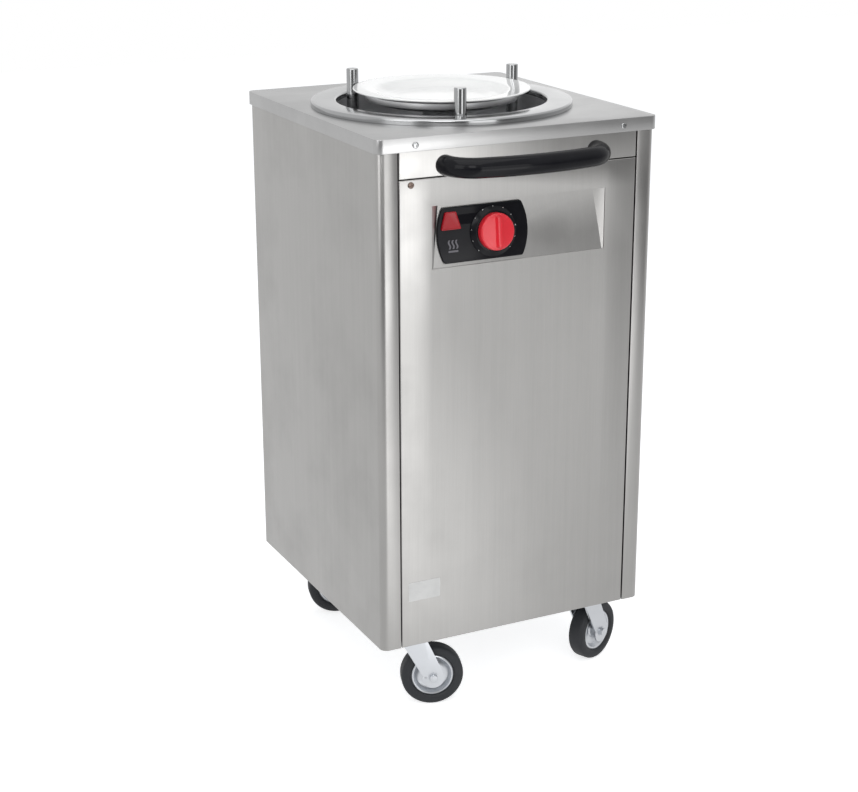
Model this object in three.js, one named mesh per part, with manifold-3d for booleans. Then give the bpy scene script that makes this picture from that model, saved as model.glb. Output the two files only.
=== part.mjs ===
// Heated plate dispenser cart: a sheet-steel cabinet on four swivel castors. A round
// well drops in through the lid, and three springs hold a plate carrier level with its
// mouth. The front carries a bow handle and a sloped recess with a thermostat knob.
// Millimetres, +Z up, the front faces -Y. Sheet pieces rest SEAT apart.

import * as THREE from 'three';
import { mergeVertices } from 'three/addons/utils/BufferGeometryUtils.js';
import { ConvexGeometry } from 'three/addons/geometries/ConvexGeometry.js';
import Module from 'manifold-3d';

const wasm = await Module();
wasm.setup();

// ---------------------------------------------------------------- driving dimensions

const SEAT = 0.3;                 // gap between pieces that rest on each other
const RUN = 0.2;                  // radial running clearance of pins, posts and shafts
const SHEET = 1.5;                // cabinet sheet

// cabinet
const LID_WIDTH = 469;
const LID_DEPTH = 506;
const LID_TOP = 925;              // height of the lid above the floor
const SKIRT_HEIGHT = 21;
const LID_OVERHANG = 3;           // how far the skirt stands proud of the walls
const LID_CORNER = 12;
const LID_EDGE = 1.2;             // rounding of the lid's top edge
const PANEL_BOTTOM = 130;         // lower edge of the side panels
const WALL_BEND = 12;             // outer bend radius of the side panels' uprights
const FRONT_FLANGE = 31;
const BACK_FLANGE = 30;
const FOLD = 12;                  // depth of the folded edges of the panels
const REVEAL = 2;                 // shadow gap round the panels
const UPPER_PANEL = 61;           // lid top down to the joint between the front panels
const PAN_LIFT = 2;               // base pan above the panels' lower edge
const PAN_RIM = 28;

// dispenser well
const WELL_X = -9;                // the well's axis from the middle of the lid
const WELL_Y = -8;
const WELL_BORE = 165;
const WELL_WALL = 1.5;
const WELL_BOTTOM = 215;
const WELL_HOLE_GAP = 1.5;        // lid cut-out round the well
const BEZEL_OUTER = 205;
const BEZEL_HEIGHT = 9;
const BEZEL_EDGE = 3;
const RING_SHEET = 3;
const BASE_RING_BORE = 118;
const HANGER_DROP = 42;           // spring hanger ring below the lid top
const POST_CIRCLE = 150;          // radius on which the guide posts stand
const POST_RADIUS = 9.5;
const POST_WALL = 1.5;
const POST_RISE = 48;             // posts above the lid top
const POST_CHAMFER = 1.5;
const POST_COUNT = 3;
const FIRST_POST = -106;          // degrees, the post nearest the front

// carrier, springs and the plate on it
const CARRIER_RADIUS = 119;
const CARRIER_FLOOR = 3.3;        // underside of the dish above the lid top
const CARRIER_SHEET = 2;
const CARRIER_RIM = 16.2;         // dish height
const CARRIER_SLOPE = 11;         // run of the dish's slanted side
const CARRIER_BEAD = 8;
const CARRIER_VENT = 14;
const CARRIER_VENT_CIRCLE = 45;
const COLUMN_RADIUS = 30;
const COLUMN_WALL = 2;
const COLUMN_FLANGE = 58;
const ARM_DROP = 225;             // arms below the lid top
const ARM_WIDTH = 18;
const ARM_THICKNESS = 4;
const ARM_TIP = 160;
const SPRING_CIRCLE = 152.5;
const SPRING_RADIUS = 6.5;
const PLATE_RADIUS = 139;
const PLATE_HEIGHT = 21;
const PLATE_FOOT = 76;
const PLATE_WALL = 3.6;
const PLATE_FOOT_HEIGHT = 2.4;
const PLATE_TUCK = 12;            // the plate's side in from the carrier's rim
const PLATE_RIM_DROP = 6.6;
const PLATE_WELL_SLOPE = 20;

// control recess, measured on the front face
const RECESS_WIDTH = 292;
const RECESS_DROP = 42;           // its top edge below the joint between the panels
const RECESS_HEIGHT = 94;
const RECESS_DEPTH = 12;          // at the top; it runs out to the front at the bottom
const RECESS_LIP = 0.4;           // depth left at the bottom, past the panel's sheet
const RECESS_BEVEL = 15;          // width of the slanted cheeks at the top
const RECESS_CEILING = 2;         // slant of the recess's upper wall
const RECESS_FLANGE = 10;
const FACIA_WIDTH = 150;
const FACIA_HEIGHT = 82;
const FACIA_BULGE = 10;
const FACIA_THICKNESS = 3;
const FACIA_INSET = 11;           // control plate in from the recess's left end
const KNOB_OFFSET = 16;           // knob and lamp from the middle of the control plate
const KNOB_RADIUS = 38;
const KNOB_SKIRT = 6.5;
const GRIP_RADIUS = 29.5;
const GRIP_HEIGHT = 12;
const RIDGE_HEIGHT = 9;
const RIDGE_WIDTH = 11;
const SHAFT_RADIUS = 3;
const SHAFT_REACH = 12;           // shaft into the grip
const THERMOSTAT_RADIUS = 21;
const THERMOSTAT_LENGTH = 32;
const LAMP_OFFSET = -54;
const LAMP_RISE = 22;             // lamp centre above the recess centre
const LAMP_HEIGHT = 26;
const LAMP_FOOT = 32;
const LAMP_CROWN = 17;
const LAMP_PROUD = 4;
const LAMP_HOLDER = 6.5;
const LAMP_HOLDER_LENGTH = 24;

// bow handle
const HANDLE_RADIUS = 15;
const HANDLE_ENDS = 126;          // half the distance between its ends
const HANDLE_RISE = 17;           // handle above the seam between the front panels
const HANDLE_LEG = 5;
const HANDLE_BEND = 42;
const HANDLE_SWEEP = 78;          // degrees turned by each end bend
const BOLT_RADIUS = 4;
const BOLT_HEAD = 7;
const BOLT_HEAD_LENGTH = 5;
const BOLT_REACH = 16;

// castors
const CASTOR_SIDE_INSET = 77;     // swivel axes in from the lid's edges
const CASTOR_END_INSET = 62;
const CASTOR_HEADINGS = { front_left: -18, front_right: 24, back_left: -14, back_right: 15 };
const TYRE_RADIUS = 50;
const TYRE_WIDTH = 28;
const HUB_RADIUS = 34;
const TRAIL = 35;
const MOUNT_LENGTH = 95;
const MOUNT_WIDTH = 80;
const MOUNT_SHEET = 3;
const MOUNT_HOLE = 4.5;
const RACE_RADIUS = 25;
const RACE_HEIGHT = 5;
const CROWN_RADIUS = 28;
const CROWN_HEIGHT = 8;
const FORK_SHEET = 3;
const FORK_GAP = 3.5;             // tyre to fork leg
const BOSS_RADIUS = 18;
const AXLE_RADIUS = 4;
const AXLE_HEAD = 7;
const AXLE_HEAD_LENGTH = 5;
const AXLE_BOSS = 11;             // hub boss round the axle
const HUB_WEB = 3;
const HUB_DISH = 3;               // rim and tyre bead narrower than the tread
const TYRE_BEAD = 4;
const TREAD_DROP = 5;

// heater and mains inlet
const ELEMENT_RADIUS = 95;
const ELEMENT_TUBE = 4;
const ELEMENT_DROP = 33;          // below the foot of the well
const ELEMENT_GAP = 28;           // degrees left open for the terminals
const BLOCK_HEIGHT = 14;
const BLOCK_WIDTH = 22;
const GLAND_RADIUS = 11;
const GLAND_SHANK = 8;
const GLAND_BORE = 4;
const GLAND_LENGTH = 14;
const GLAND_INSET = 50;           // in from the back panel's end, up from its foot
const GLAND_RISE = 60;

// ---------------------------------------------------------------- derived places

const SEAM_HEIGHT = LID_TOP - UPPER_PANEL;
const RECESS_TOP = SEAM_HEIGHT - RECESS_DROP;
const RECESS_BOTTOM = RECESS_TOP - RECESS_HEIGHT;
const CABINET_WIDTH = LID_WIDTH - 2 * LID_OVERHANG;
const CABINET_DEPTH = LID_DEPTH - 2 * LID_OVERHANG;
const FRONT = -CABINET_DEPTH / 2;                       // outer face of the front
const UNDER_LID = LID_TOP - SHEET - SEAT;               // top of the walls
const PANEL_WIDTH = CABINET_WIDTH - 2 * (FRONT_FLANGE + REVEAL);
const BACK_PANEL_WIDTH = CABINET_WIDTH - 2 * (BACK_FLANGE + REVEAL);
const GLAND_X = BACK_PANEL_WIDTH / 2 - GLAND_INSET;
const GLAND_HEIGHT = PANEL_BOTTOM + GLAND_RISE;
const PAN_UNDERSIDE = PANEL_BOTTOM + PAN_LIFT;
const CASTOR_TOP = PAN_UNDERSIDE - SEAT;
const ELEMENT_HEIGHT = WELL_BOTTOM - ELEMENT_DROP;
const HANGER_TOP = LID_TOP - HANGER_DROP;
const ARM_TOP = LID_TOP - ARM_DROP;
const RECESS_BACK_LOW = SHEET + SEAT + RECESS_LIP;      // depths behind the front face
const RECESS_FLOOR_TOP = RECESS_TOP - RECESS_CEILING;
const RECESS_TILT = Math.atan2(
    RECESS_DEPTH - RECESS_BACK_LOW, RECESS_FLOOR_TOP - RECESS_BOTTOM);
const RECESS_MIDDLE = (RECESS_FLOOR_TOP + RECESS_BOTTOM) / 2;
const RECESS_MIDDLE_DEPTH = (RECESS_DEPTH + RECESS_BACK_LOW) / 2;
const FACIA_X = FACIA_INSET + (FACIA_WIDTH - RECESS_WIDTH) / 2;
const KNOB_X = FACIA_X + KNOB_OFFSET;
const LAMP_X = FACIA_X + LAMP_OFFSET;
const HANDLE_HEIGHT = SEAM_HEIGHT + HANDLE_RISE;
const CASTOR_X = LID_WIDTH / 2 - CASTOR_SIDE_INSET;
const CASTOR_Y = LID_DEPTH / 2 - CASTOR_END_INSET;

const ROUND = 48;                 // facets of the well and bezel
const DISH = 40;
const MEDIUM = 24;
const SMALL = 14;

// ---------------------------------------------------------------- finishes

function finish(color, metalness, roughness) {
    return new THREE.MeshStandardMaterial({ color, metalness, roughness });
}

const BRUSHED = finish(0xb4b4b1, 1.0, 0.38);
const POLISHED = finish(0xc9cacb, 1.0, 0.18);
const GALVANISED = finish(0x9da0a2, 0.9, 0.5);
const ZINC = finish(0xb9bcc0, 1.0, 0.3);
const SPRING_STEEL = finish(0x8f9195, 1.0, 0.3);
const BLACK_PLASTIC = finish(0x121214, 0.0, 0.25);
const RED_PLASTIC = finish(0xd8202c, 0.0, 0.3);
const RED_LENS = finish(0xc4121c, 0.0, 0.15);
const RUBBER = finish(0x141518, 0.0, 0.75);
const PORCELAIN = finish(0xf2f1ec, 0.0, 0.12);
const DARK_TUBE = finish(0x4a4542, 0.8, 0.55);

// ---------------------------------------------------------------- solids

// Turns any closed three.js geometry into an exact solid with outward faces.
function solid(geometry) {
    const bare = geometry.clone();
    for (const name of Object.keys(bare.attributes)) {
        if (name !== 'position') bare.deleteAttribute(name);
    }
    const merged = mergeVertices(bare, 1e-4);
    const index = merged.index.array;
    const faces = [];
    for (let i = 0; i < index.length; i += 3) {
        const [a, b, c] = [index[i], index[i + 1], index[i + 2]];
        if (a !== b && b !== c && c !== a) faces.push(a, b, c);
    }
    const points = new Float32Array(merged.attributes.position.array);
    if (signedVolume(points, faces) < 0) faces.reverse();
    return new wasm.Manifold(new wasm.Mesh({
        numProp: 3, vertProperties: points, triVerts: new Uint32Array(faces) }));
}

function signedVolume(points, faces) {
    const corner = (i) => new THREE.Vector3().fromArray(points, 3 * i);
    let volume = 0;
    for (let i = 0; i < faces.length; i += 3) {
        const [a, b, c] = [faces[i], faces[i + 1], faces[i + 2]].map(corner);
        volume += a.dot(b.cross(c));
    }
    return volume;
}

function geometryOf(body) {
    const mesh = body.getMesh();
    const geometry = new THREE.BufferGeometry();
    const points = new Float32Array(3 * mesh.numVert);
    for (let i = 0; i < mesh.numVert; i += 1) {
        for (let k = 0; k < 3; k += 1) points[3 * i + k] = mesh.vertProperties[mesh.numProp * i + k];
    }
    geometry.setAttribute('position', new THREE.BufferAttribute(points, 3));
    geometry.setIndex(new THREE.BufferAttribute(new Uint32Array(mesh.triVerts), 1));
    geometry.computeVertexNormals();
    return geometry;
}

function box(xRange, yRange, zRange) {
    const size = [xRange, yRange, zRange].map(([low, high]) => high - low);
    const middle = [xRange, yRange, zRange].map(([low, high]) => (high + low) / 2);
    return solid(new THREE.BoxGeometry(...size).translate(...middle));
}

// Revolves [radius, height] points round the Z axis.
function turned(profile, facets) {
    const points = profile.map(([radius, height]) => new THREE.Vector2(radius, height));
    const closed = profile[0][0] === 0 ? points : [...points, points[0].clone()];
    return solid(new THREE.LatheGeometry(closed, facets).rotateX(Math.PI / 2));
}

// A round bar along Z, from one height to another.
function bar(radius, low, high, facets = SMALL) {
    return turned([[0, low], [radius, low], [radius, high], [0, high]], facets);
}

// A round bar along Y, from one depth to another.
function crossBar(radius, low, high, facets = SMALL) {
    return alongY(bar(radius, -high, -low, facets));
}

// Swings a solid turned about Z so that its axis lies along Y and +Z faces -Y.
function alongY(body) {
    return body.rotate([90, 0, 0]);
}

// Extrudes a flat outline in X and Y upwards.
function raised(outline, low, high, curveSegments = 6) {
    const geometry = new THREE.ExtrudeGeometry(
        outline, { depth: high - low, bevelEnabled: false, curveSegments });
    return solid(geometry.translate(0, 0, low));
}

// Extrudes an outline drawn in X and Z from one depth to another along Y.
function upright(outline, front, back, curveSegments = 8) {
    return alongY(raised(outline, -back, -front, curveSegments));
}

function roundedRectangle(width, height, radius) {
    const [w, h] = [width / 2, height / 2];
    const outline = new THREE.Shape();
    outline.moveTo(-w + radius, -h);
    outline.lineTo(w - radius, -h);
    outline.absarc(w - radius, -h + radius, radius, -Math.PI / 2, 0);
    outline.absarc(w - radius, h - radius, radius, 0, Math.PI / 2);
    outline.absarc(-w + radius, h - radius, radius, Math.PI / 2, Math.PI);
    outline.absarc(-w + radius, -h + radius, radius, Math.PI, 1.5 * Math.PI);
    return outline;
}

function hullOf(points) {
    return solid(new ConvexGeometry(points.map((point) => new THREE.Vector3(...point))));
}

function onCircle(radius, degrees) {
    const turn = THREE.MathUtils.degToRad(degrees);
    return [radius * Math.cos(turn), radius * Math.sin(turn)];
}

function postAngles(offset = 0) {
    return Array.from({ length: POST_COUNT },
        (_, i) => FIRST_POST + offset + (360 / POST_COUNT) * i);
}

const model = new THREE.Group();

function piece(name, body, material, parent = model) {
    const mesh = new THREE.Mesh(geometryOf(body), material);
    mesh.name = name;
    parent.add(mesh);
    return mesh;
}

const well = new THREE.Group();   // stands on the axis of the plate well
well.position.set(WELL_X, WELL_Y, 0);
model.add(well);

// ---------------------------------------------------------------- cabinet

function lidPanel() {
    const edge = LID_EDGE;
    const outline = roundedRectangle(
        LID_WIDTH - 2 * edge, LID_DEPTH - 2 * edge, LID_CORNER - edge);
    const block = solid(new THREE.ExtrudeGeometry(outline, {
        depth: 2 * SKIRT_HEIGHT, bevelThickness: edge, bevelSize: edge,
        bevelSegments: 1, curveSegments: 3,
    }).translate(0, 0, LID_TOP - 2 * SKIRT_HEIGHT - edge));
    const reach = LID_WIDTH + LID_DEPTH;
    const below = box([-reach, reach], [-reach, reach], [0, LID_TOP - SKIRT_HEIGHT]);
    const inside = raised(
        roundedRectangle(LID_WIDTH - 2 * SHEET, LID_DEPTH - 2 * SHEET, LID_CORNER - SHEET),
        0, LID_TOP - SHEET, 3);
    const mouth = bar(WELL_BORE + WELL_WALL + WELL_HOLE_GAP, 0, 2 * LID_TOP, ROUND)
        .translate([WELL_X, WELL_Y, 0]);
    piece('lid_panel', block.subtract(below).subtract(inside).subtract(mouth), BRUSHED);
}

// Plan of the right-hand side panel: a wall with bent uprights front and back, each
// ending in an edge folded inwards.
function sidePanelPlan() {
    const wall = CABINET_WIDTH / 2;
    const [front, back] = [FRONT, -FRONT];
    const [frontEnd, backEnd] = [wall - FRONT_FLANGE, wall - BACK_FLANGE];
    const [bend, inner] = [WALL_BEND, WALL_BEND - SHEET];
    const plan = new THREE.Shape();
    plan.moveTo(frontEnd, front + FOLD);
    plan.lineTo(frontEnd, front);
    plan.absarc(wall - bend, front + bend, bend, -Math.PI / 2, 0);
    plan.absarc(wall - bend, back - bend, bend, 0, Math.PI / 2);
    plan.lineTo(backEnd, back);
    plan.lineTo(backEnd, back - FOLD);
    plan.lineTo(backEnd + SHEET, back - FOLD);
    plan.lineTo(backEnd + SHEET, back - SHEET);
    plan.absarc(wall - bend, back - bend, inner, Math.PI / 2, 0, true);
    plan.absarc(wall - bend, front + bend, inner, 0, -Math.PI / 2, true);
    plan.lineTo(frontEnd + SHEET, front + SHEET);
    plan.lineTo(frontEnd + SHEET, front + FOLD);
    return plan;
}

function sidePanels() {
    const right = raised(sidePanelPlan(), PANEL_BOTTOM, UNDER_LID);
    piece('right_side_panel', right, BRUSHED);
    piece('left_side_panel', right.mirror([1, 0, 0]), BRUSHED);
}

// A flat sheet with its four edges folded back, like the lid of a shallow tin.
function foldedPanel(width, bottom, top) {
    const w = width / 2;
    const tin = box([-w, w], [FRONT, FRONT + FOLD], [bottom, top]);
    const hollow = box([-w + SHEET, w - SHEET], [FRONT + SHEET, FRONT + 2 * FOLD],
        [bottom + SHEET, top - SHEET]);
    return tin.subtract(hollow);
}

function upperFrontPanel() {
    let panel = foldedPanel(PANEL_WIDTH, SEAM_HEIGHT + REVEAL / 2, UNDER_LID);
    for (const x of [-HANDLE_ENDS, HANDLE_ENDS]) {
        const hole = crossBar(BOLT_RADIUS + RUN, FRONT - FOLD, FRONT + FOLD);
        panel = panel.subtract(hole.translate([x, 0, HANDLE_HEIGHT]));
    }
    piece('upper_front_panel', panel, BRUSHED);
}

function frontPanel() {
    const panel = foldedPanel(PANEL_WIDTH, PANEL_BOTTOM, SEAM_HEIGHT - REVEAL / 2);
    const window = box([-RECESS_WIDTH / 2, RECESS_WIDTH / 2],
        [FRONT - FOLD, FRONT + FOLD / 2], [RECESS_BOTTOM, RECESS_TOP]);
    piece('front_panel', panel.subtract(window), BRUSHED);
}

function backPanel() {
    const panel = foldedPanel(BACK_PANEL_WIDTH, PANEL_BOTTOM, UNDER_LID)
        .rotate([0, 0, 180]);
    const hole = crossBar(GLAND_SHANK + RUN, -FRONT - FOLD, -FRONT + FOLD);
    piece('back_panel', panel.subtract(hole.translate([GLAND_X, 0, GLAND_HEIGHT])), BRUSHED);
}

function basePan() {
    const w = CABINET_WIDTH / 2 - SHEET - SEAT;
    const d = -FRONT - FOLD - SEAT;
    const tray = box([-w, w], [-d, d], [PAN_UNDERSIDE, PAN_UNDERSIDE + PAN_RIM]);
    const hollow = box([-w + SHEET, w - SHEET], [-d + SHEET, d - SHEET],
        [PAN_UNDERSIDE + SHEET, PAN_UNDERSIDE + 2 * PAN_RIM]);
    piece('base_pan', tray.subtract(hollow), GALVANISED);
}

// ---------------------------------------------------------------- dispenser well

// The polished ring that closes the gap between the well and the lid.
function bezel() {
    const low = LID_TOP + SEAT;
    const high = LID_TOP + BEZEL_HEIGHT;
    const profile = [[WELL_BORE, low], [BEZEL_OUTER, low], [BEZEL_OUTER, high - BEZEL_EDGE]];
    for (const degrees of [45, 90]) {
        const [across, up] = onCircle(BEZEL_EDGE, degrees);
        profile.push([BEZEL_OUTER - BEZEL_EDGE + across, high - BEZEL_EDGE + up]);
    }
    for (const degrees of [90, 180]) {
        const [across, up] = onCircle(BEZEL_EDGE, degrees);
        profile.push([WELL_BORE + BEZEL_EDGE + across, high - BEZEL_EDGE + up]);
    }
    piece('dispenser_bezel', turned(profile, ROUND), POLISHED, well);
}

function wellTube() {
    const outer = WELL_BORE + WELL_WALL;
    const profile = [[WELL_BORE, WELL_BOTTOM], [outer, WELL_BOTTOM],
        [outer, LID_TOP], [WELL_BORE, LID_TOP]];
    piece('dispenser_tube', turned(profile, ROUND), GALVANISED, well);
}

function flatRing(bore, low) {
    const outer = WELL_BORE - RUN;
    return turned([[bore, low], [outer, low], [outer, low + RING_SHEET],
        [bore, low + RING_SHEET]], ROUND);
}

function wellRings() {
    piece('well_base_ring', flatRing(BASE_RING_BORE, WELL_BOTTOM), GALVANISED, well);
    let hanger = flatRing(POST_CIRCLE - POST_RADIUS + 1, HANGER_TOP - RING_SHEET);
    for (const angle of postAngles()) {
        const hole = bar(POST_RADIUS + RUN, 0, LID_TOP);
        hanger = hanger.subtract(hole.translate([...onCircle(POST_CIRCLE, angle), 0]));
    }
    piece('spring_hanger_ring', hanger, GALVANISED, well);
}

// Three tubes, closed at the top, that keep the stack of plates in line.
function guidePosts() {
    const low = WELL_BOTTOM + RING_SHEET + SEAT;
    const high = LID_TOP + POST_RISE;
    const core = POST_RADIUS - POST_WALL;
    const profile = [[core, low], [POST_RADIUS, low], [POST_RADIUS, high - POST_CHAMFER],
        [POST_RADIUS - POST_CHAMFER, high], [0, high], [0, high - POST_WALL],
        [core, high - POST_WALL]];
    const places = ['front', 'right', 'left'];
    postAngles().forEach((angle, i) => {
        const post = turnedOpen(profile, SMALL).translate([...onCircle(POST_CIRCLE, angle), 0]);
        piece(`guide_post_${places[i] ?? i + 1}`, post, POLISHED, well);
    });
}

// Revolves a profile that touches the axis in its middle and closes on itself.
function turnedOpen(profile, facets) {
    const points = [...profile, profile[0]].map(([r, z]) => new THREE.Vector2(r, z));
    return solid(new THREE.LatheGeometry(points, facets).rotateX(Math.PI / 2));
}

// ---------------------------------------------------------------- carrier and plate

function carrierDish() {
    const low = LID_TOP + CARRIER_FLOOR;
    const [rim, sheet, height] = [CARRIER_RADIUS, CARRIER_SHEET, CARRIER_RIM];
    const bead = height / 3;
    const foot = rim - CARRIER_BEAD - CARRIER_SLOPE;
    const profile = [[0, low], [foot, low], [rim - CARRIER_BEAD, low + bead - sheet / 2],
        [rim, low + bead], [rim, low + height - sheet], [rim - sheet, low + height],
        [rim - 2.5 * sheet, low + height], [rim - CARRIER_BEAD - sheet / 2, low + sheet + bead],
        [foot - sheet / 2, low + sheet], [0, low + sheet]];
    let dish = turned(profile, DISH);
    for (const angle of postAngles()) {
        const vent = bar(CARRIER_VENT, low - 1, low + 2 * sheet, SMALL);
        dish = dish.subtract(vent.translate([...onCircle(CARRIER_VENT_CIRCLE, angle), 0]));
    }
    piece('carrier_dish', dish, POLISHED, well);
}

// The column and arms that hang the dish on its three springs.
function carrierSpider() {
    const high = LID_TOP + CARRIER_FLOOR - SEAT;
    const low = ARM_TOP - ARM_THICKNESS;
    const core = COLUMN_RADIUS - COLUMN_WALL;
    let spider = turned([[core, low], [COLUMN_RADIUS, low],
        [COLUMN_RADIUS, high - CARRIER_SHEET], [COLUMN_FLANGE, high - CARRIER_SHEET],
        [COLUMN_FLANGE, high], [core, high]], MEDIUM);
    for (const angle of postAngles(180 / POST_COUNT)) {
        const arm = box([core + COLUMN_WALL / 2, ARM_TIP],
            [-ARM_WIDTH / 2, ARM_WIDTH / 2], [low, ARM_TOP]);
        spider = spider.add(arm.rotate([0, 0, angle]));
    }
    piece('carrier_spider', spider, GALVANISED, well);
}

function springs() {
    const high = HANGER_TOP - RING_SHEET - SEAT;
    const places = ['right', 'back', 'left'];
    postAngles(180 / POST_COUNT).forEach((angle, i) => {
        const coil = bar(SPRING_RADIUS, ARM_TOP + SEAT, high, 12);
        const place = [...onCircle(SPRING_CIRCLE, angle), 0];
        piece(`carrier_spring_${places[i] ?? i + 1}`, coil.translate(place), SPRING_STEEL, well);
    });
}

function dinnerPlate() {
    const low = LID_TOP + CARRIER_FLOOR + CARRIER_SHEET + SEAT;
    const high = low + PLATE_HEIGHT;
    const [rim, foot, wall] = [PLATE_RADIUS, PLATE_FOOT, PLATE_WALL];
    const shoulder = CARRIER_RADIUS - PLATE_TUCK;
    const base = low + PLATE_FOOT_HEIGHT;
    const half = wall - 0.6;                   // half-width of the foot ring
    const profile = [[0, base], [foot - half - 1, base], [foot - half, low], [foot + half, low],
        [shoulder - 1, high - PLATE_RIM_DROP], [rim - 1, high - half],
        [rim, high - wall / 2], [rim - 1, high], [shoulder, high - PLATE_RIM_DROP / 2],
        [shoulder - PLATE_WELL_SLOPE, base + wall], [0, base + wall]];
    piece('dinner_plate', turned(profile, DISH), PORCELAIN, well);
}

// ---------------------------------------------------------------- control recess

const face = new THREE.Group();   // stands on the sloped back of the recess
face.position.set(0, FRONT + RECESS_MIDDLE_DEPTH, RECESS_MIDDLE);
face.rotation.x = -RECESS_TILT;
model.add(face);

// Corners of the space in the recess, grown outwards by wall.
function recessCorners(mouthDepth, wall) {
    const half = RECESS_WIDTH / 2;
    const cheekLow = RECESS_BEVEL * (RECESS_BACK_LOW / RECESS_DEPTH);
    const corners = [];
    for (const side of [-1, 1]) {
        corners.push([side * (half + wall), FRONT + mouthDepth, RECESS_TOP + wall],
            [side * (half + wall), FRONT + mouthDepth, RECESS_BOTTOM - wall],
            [side * (half - RECESS_BEVEL + wall), FRONT + RECESS_DEPTH + wall,
                RECESS_FLOOR_TOP + wall],
            [side * (half - cheekLow + wall), FRONT + RECESS_BACK_LOW + wall,
                RECESS_BOTTOM - wall / 2]);
    }
    return corners;
}

function throughFace(radius, x, rise) {
    const hole = crossBar(radius, -2 * RECESS_DEPTH, 2 * RECESS_DEPTH);
    return onFace(hole.translate([x, 0, rise]));
}

// Moves a solid from the sloped face's own axes to the cabinet's.
function onFace(body) {
    return body.rotate([-THREE.MathUtils.radToDeg(RECESS_TILT), 0, 0])
        .translate([0, FRONT + RECESS_MIDDLE_DEPTH, RECESS_MIDDLE]);
}

function controlRecess() {
    const behind = SHEET + SEAT;
    const half = RECESS_WIDTH / 2 + RECESS_FLANGE;
    const flange = box([-half, half], [FRONT + behind, FRONT + behind + SHEET],
        [RECESS_BOTTOM - RECESS_FLANGE, RECESS_TOP + RECESS_FLANGE]);
    const shell = flange.add(hullOf(recessCorners(behind, SHEET)));
    const recess = shell.subtract(hullOf(recessCorners(-SHEET, 0)))
        .subtract(throughFace(SHAFT_RADIUS + 2, KNOB_X, 0))
        .subtract(throughFace(LAMP_HOLDER + RUN, LAMP_X, LAMP_RISE));
    piece('control_recess', recess, BRUSHED);
}

// Barrel outline: flat top and bottom, bowed ends.
function facia() {
    const [w, h, bulge] = [FACIA_WIDTH / 2 - FACIA_BULGE, FACIA_HEIGHT / 2, FACIA_BULGE];
    const outline = new THREE.Shape();
    outline.moveTo(-w, -h);
    outline.lineTo(w, -h);
    outline.quadraticCurveTo(w + 2 * bulge, 0, w, h);
    outline.lineTo(-w, h);
    outline.quadraticCurveTo(-w - 2 * bulge, 0, -w, -h);
    const plate = upright(outline, -FACIA_THICKNESS - SEAT, -SEAT)
        .translate([FACIA_X, 0, 0])
        .subtract(crossBar(SHAFT_RADIUS + 2, -RECESS_DEPTH, RECESS_DEPTH)
            .translate([KNOB_X, 0, 0]))
        .subtract(crossBar(LAMP_HOLDER + RUN, -RECESS_DEPTH, RECESS_DEPTH)
            .translate([LAMP_X, 0, LAMP_RISE]));
    piece('control_plate', plate, BLACK_PLASTIC, face);
}

const FACIA_FRONT = FACIA_THICKNESS + SEAT;             // heights off the sloped face
const SKIRT_BACK = FACIA_FRONT + SEAT;
const SKIRT_FRONT = SKIRT_BACK + KNOB_SKIRT;
const GRIP_BACK = SKIRT_FRONT + SEAT;
const GRIP_FRONT = GRIP_BACK + GRIP_HEIGHT;

function onKnobAxis(body) {
    return alongY(body).translate([KNOB_X, 0, 0]);
}

function knob() {
    const bore = SHAFT_RADIUS + RUN;
    const skirt = turned([[bore, SKIRT_BACK], [KNOB_RADIUS, SKIRT_BACK],
        [KNOB_RADIUS, SKIRT_BACK + 1.5], [GRIP_RADIUS + 2, SKIRT_FRONT], [bore, SKIRT_FRONT]],
    MEDIUM);
    piece('knob_skirt', onKnobAxis(skirt), BLACK_PLASTIC, face);

    const disc = turned([[0, GRIP_BACK], [GRIP_RADIUS, GRIP_BACK],
        [GRIP_RADIUS - 0.8, GRIP_FRONT - 3], [GRIP_RADIUS - 3.5, GRIP_FRONT], [0, GRIP_FRONT]],
    MEDIUM);
    const ridgeLength = 2 * GRIP_RADIUS - 5;
    const ridge = raised(roundedRectangle(RIDGE_WIDTH, ridgeLength, RIDGE_WIDTH / 2 - 0.5),
        GRIP_FRONT - 1, GRIP_FRONT + RIDGE_HEIGHT, 4);
    const crown = turned([[0, 0], [GRIP_RADIUS, 0], [GRIP_RADIUS, GRIP_FRONT],
        [GRIP_RADIUS - 7, GRIP_FRONT + RIDGE_HEIGHT], [0, GRIP_FRONT + RIDGE_HEIGHT]], MEDIUM);
    const socket = bar(bore, 0, GRIP_BACK + SHAFT_REACH);
    const grip = disc.add(ridge.intersect(crown)).subtract(socket);
    piece('knob_grip', onKnobAxis(grip), RED_PLASTIC, face);
}

function thermostat() {
    const back = SHEET / Math.cos(RECESS_TILT) + SEAT;
    const depth = 8;
    const body = bar(THERMOSTAT_RADIUS, -back - THERMOSTAT_LENGTH, -back, MEDIUM)
        .subtract(bar(SHAFT_RADIUS + RUN, -back - depth, 0));
    piece('thermostat_body', onKnobAxis(body), GALVANISED, face);
    const shaft = bar(SHAFT_RADIUS, -back - depth + SEAT, GRIP_BACK + SHAFT_REACH - SEAT);
    piece('thermostat_shaft', onKnobAxis(shaft), ZINC, face);
}

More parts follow.
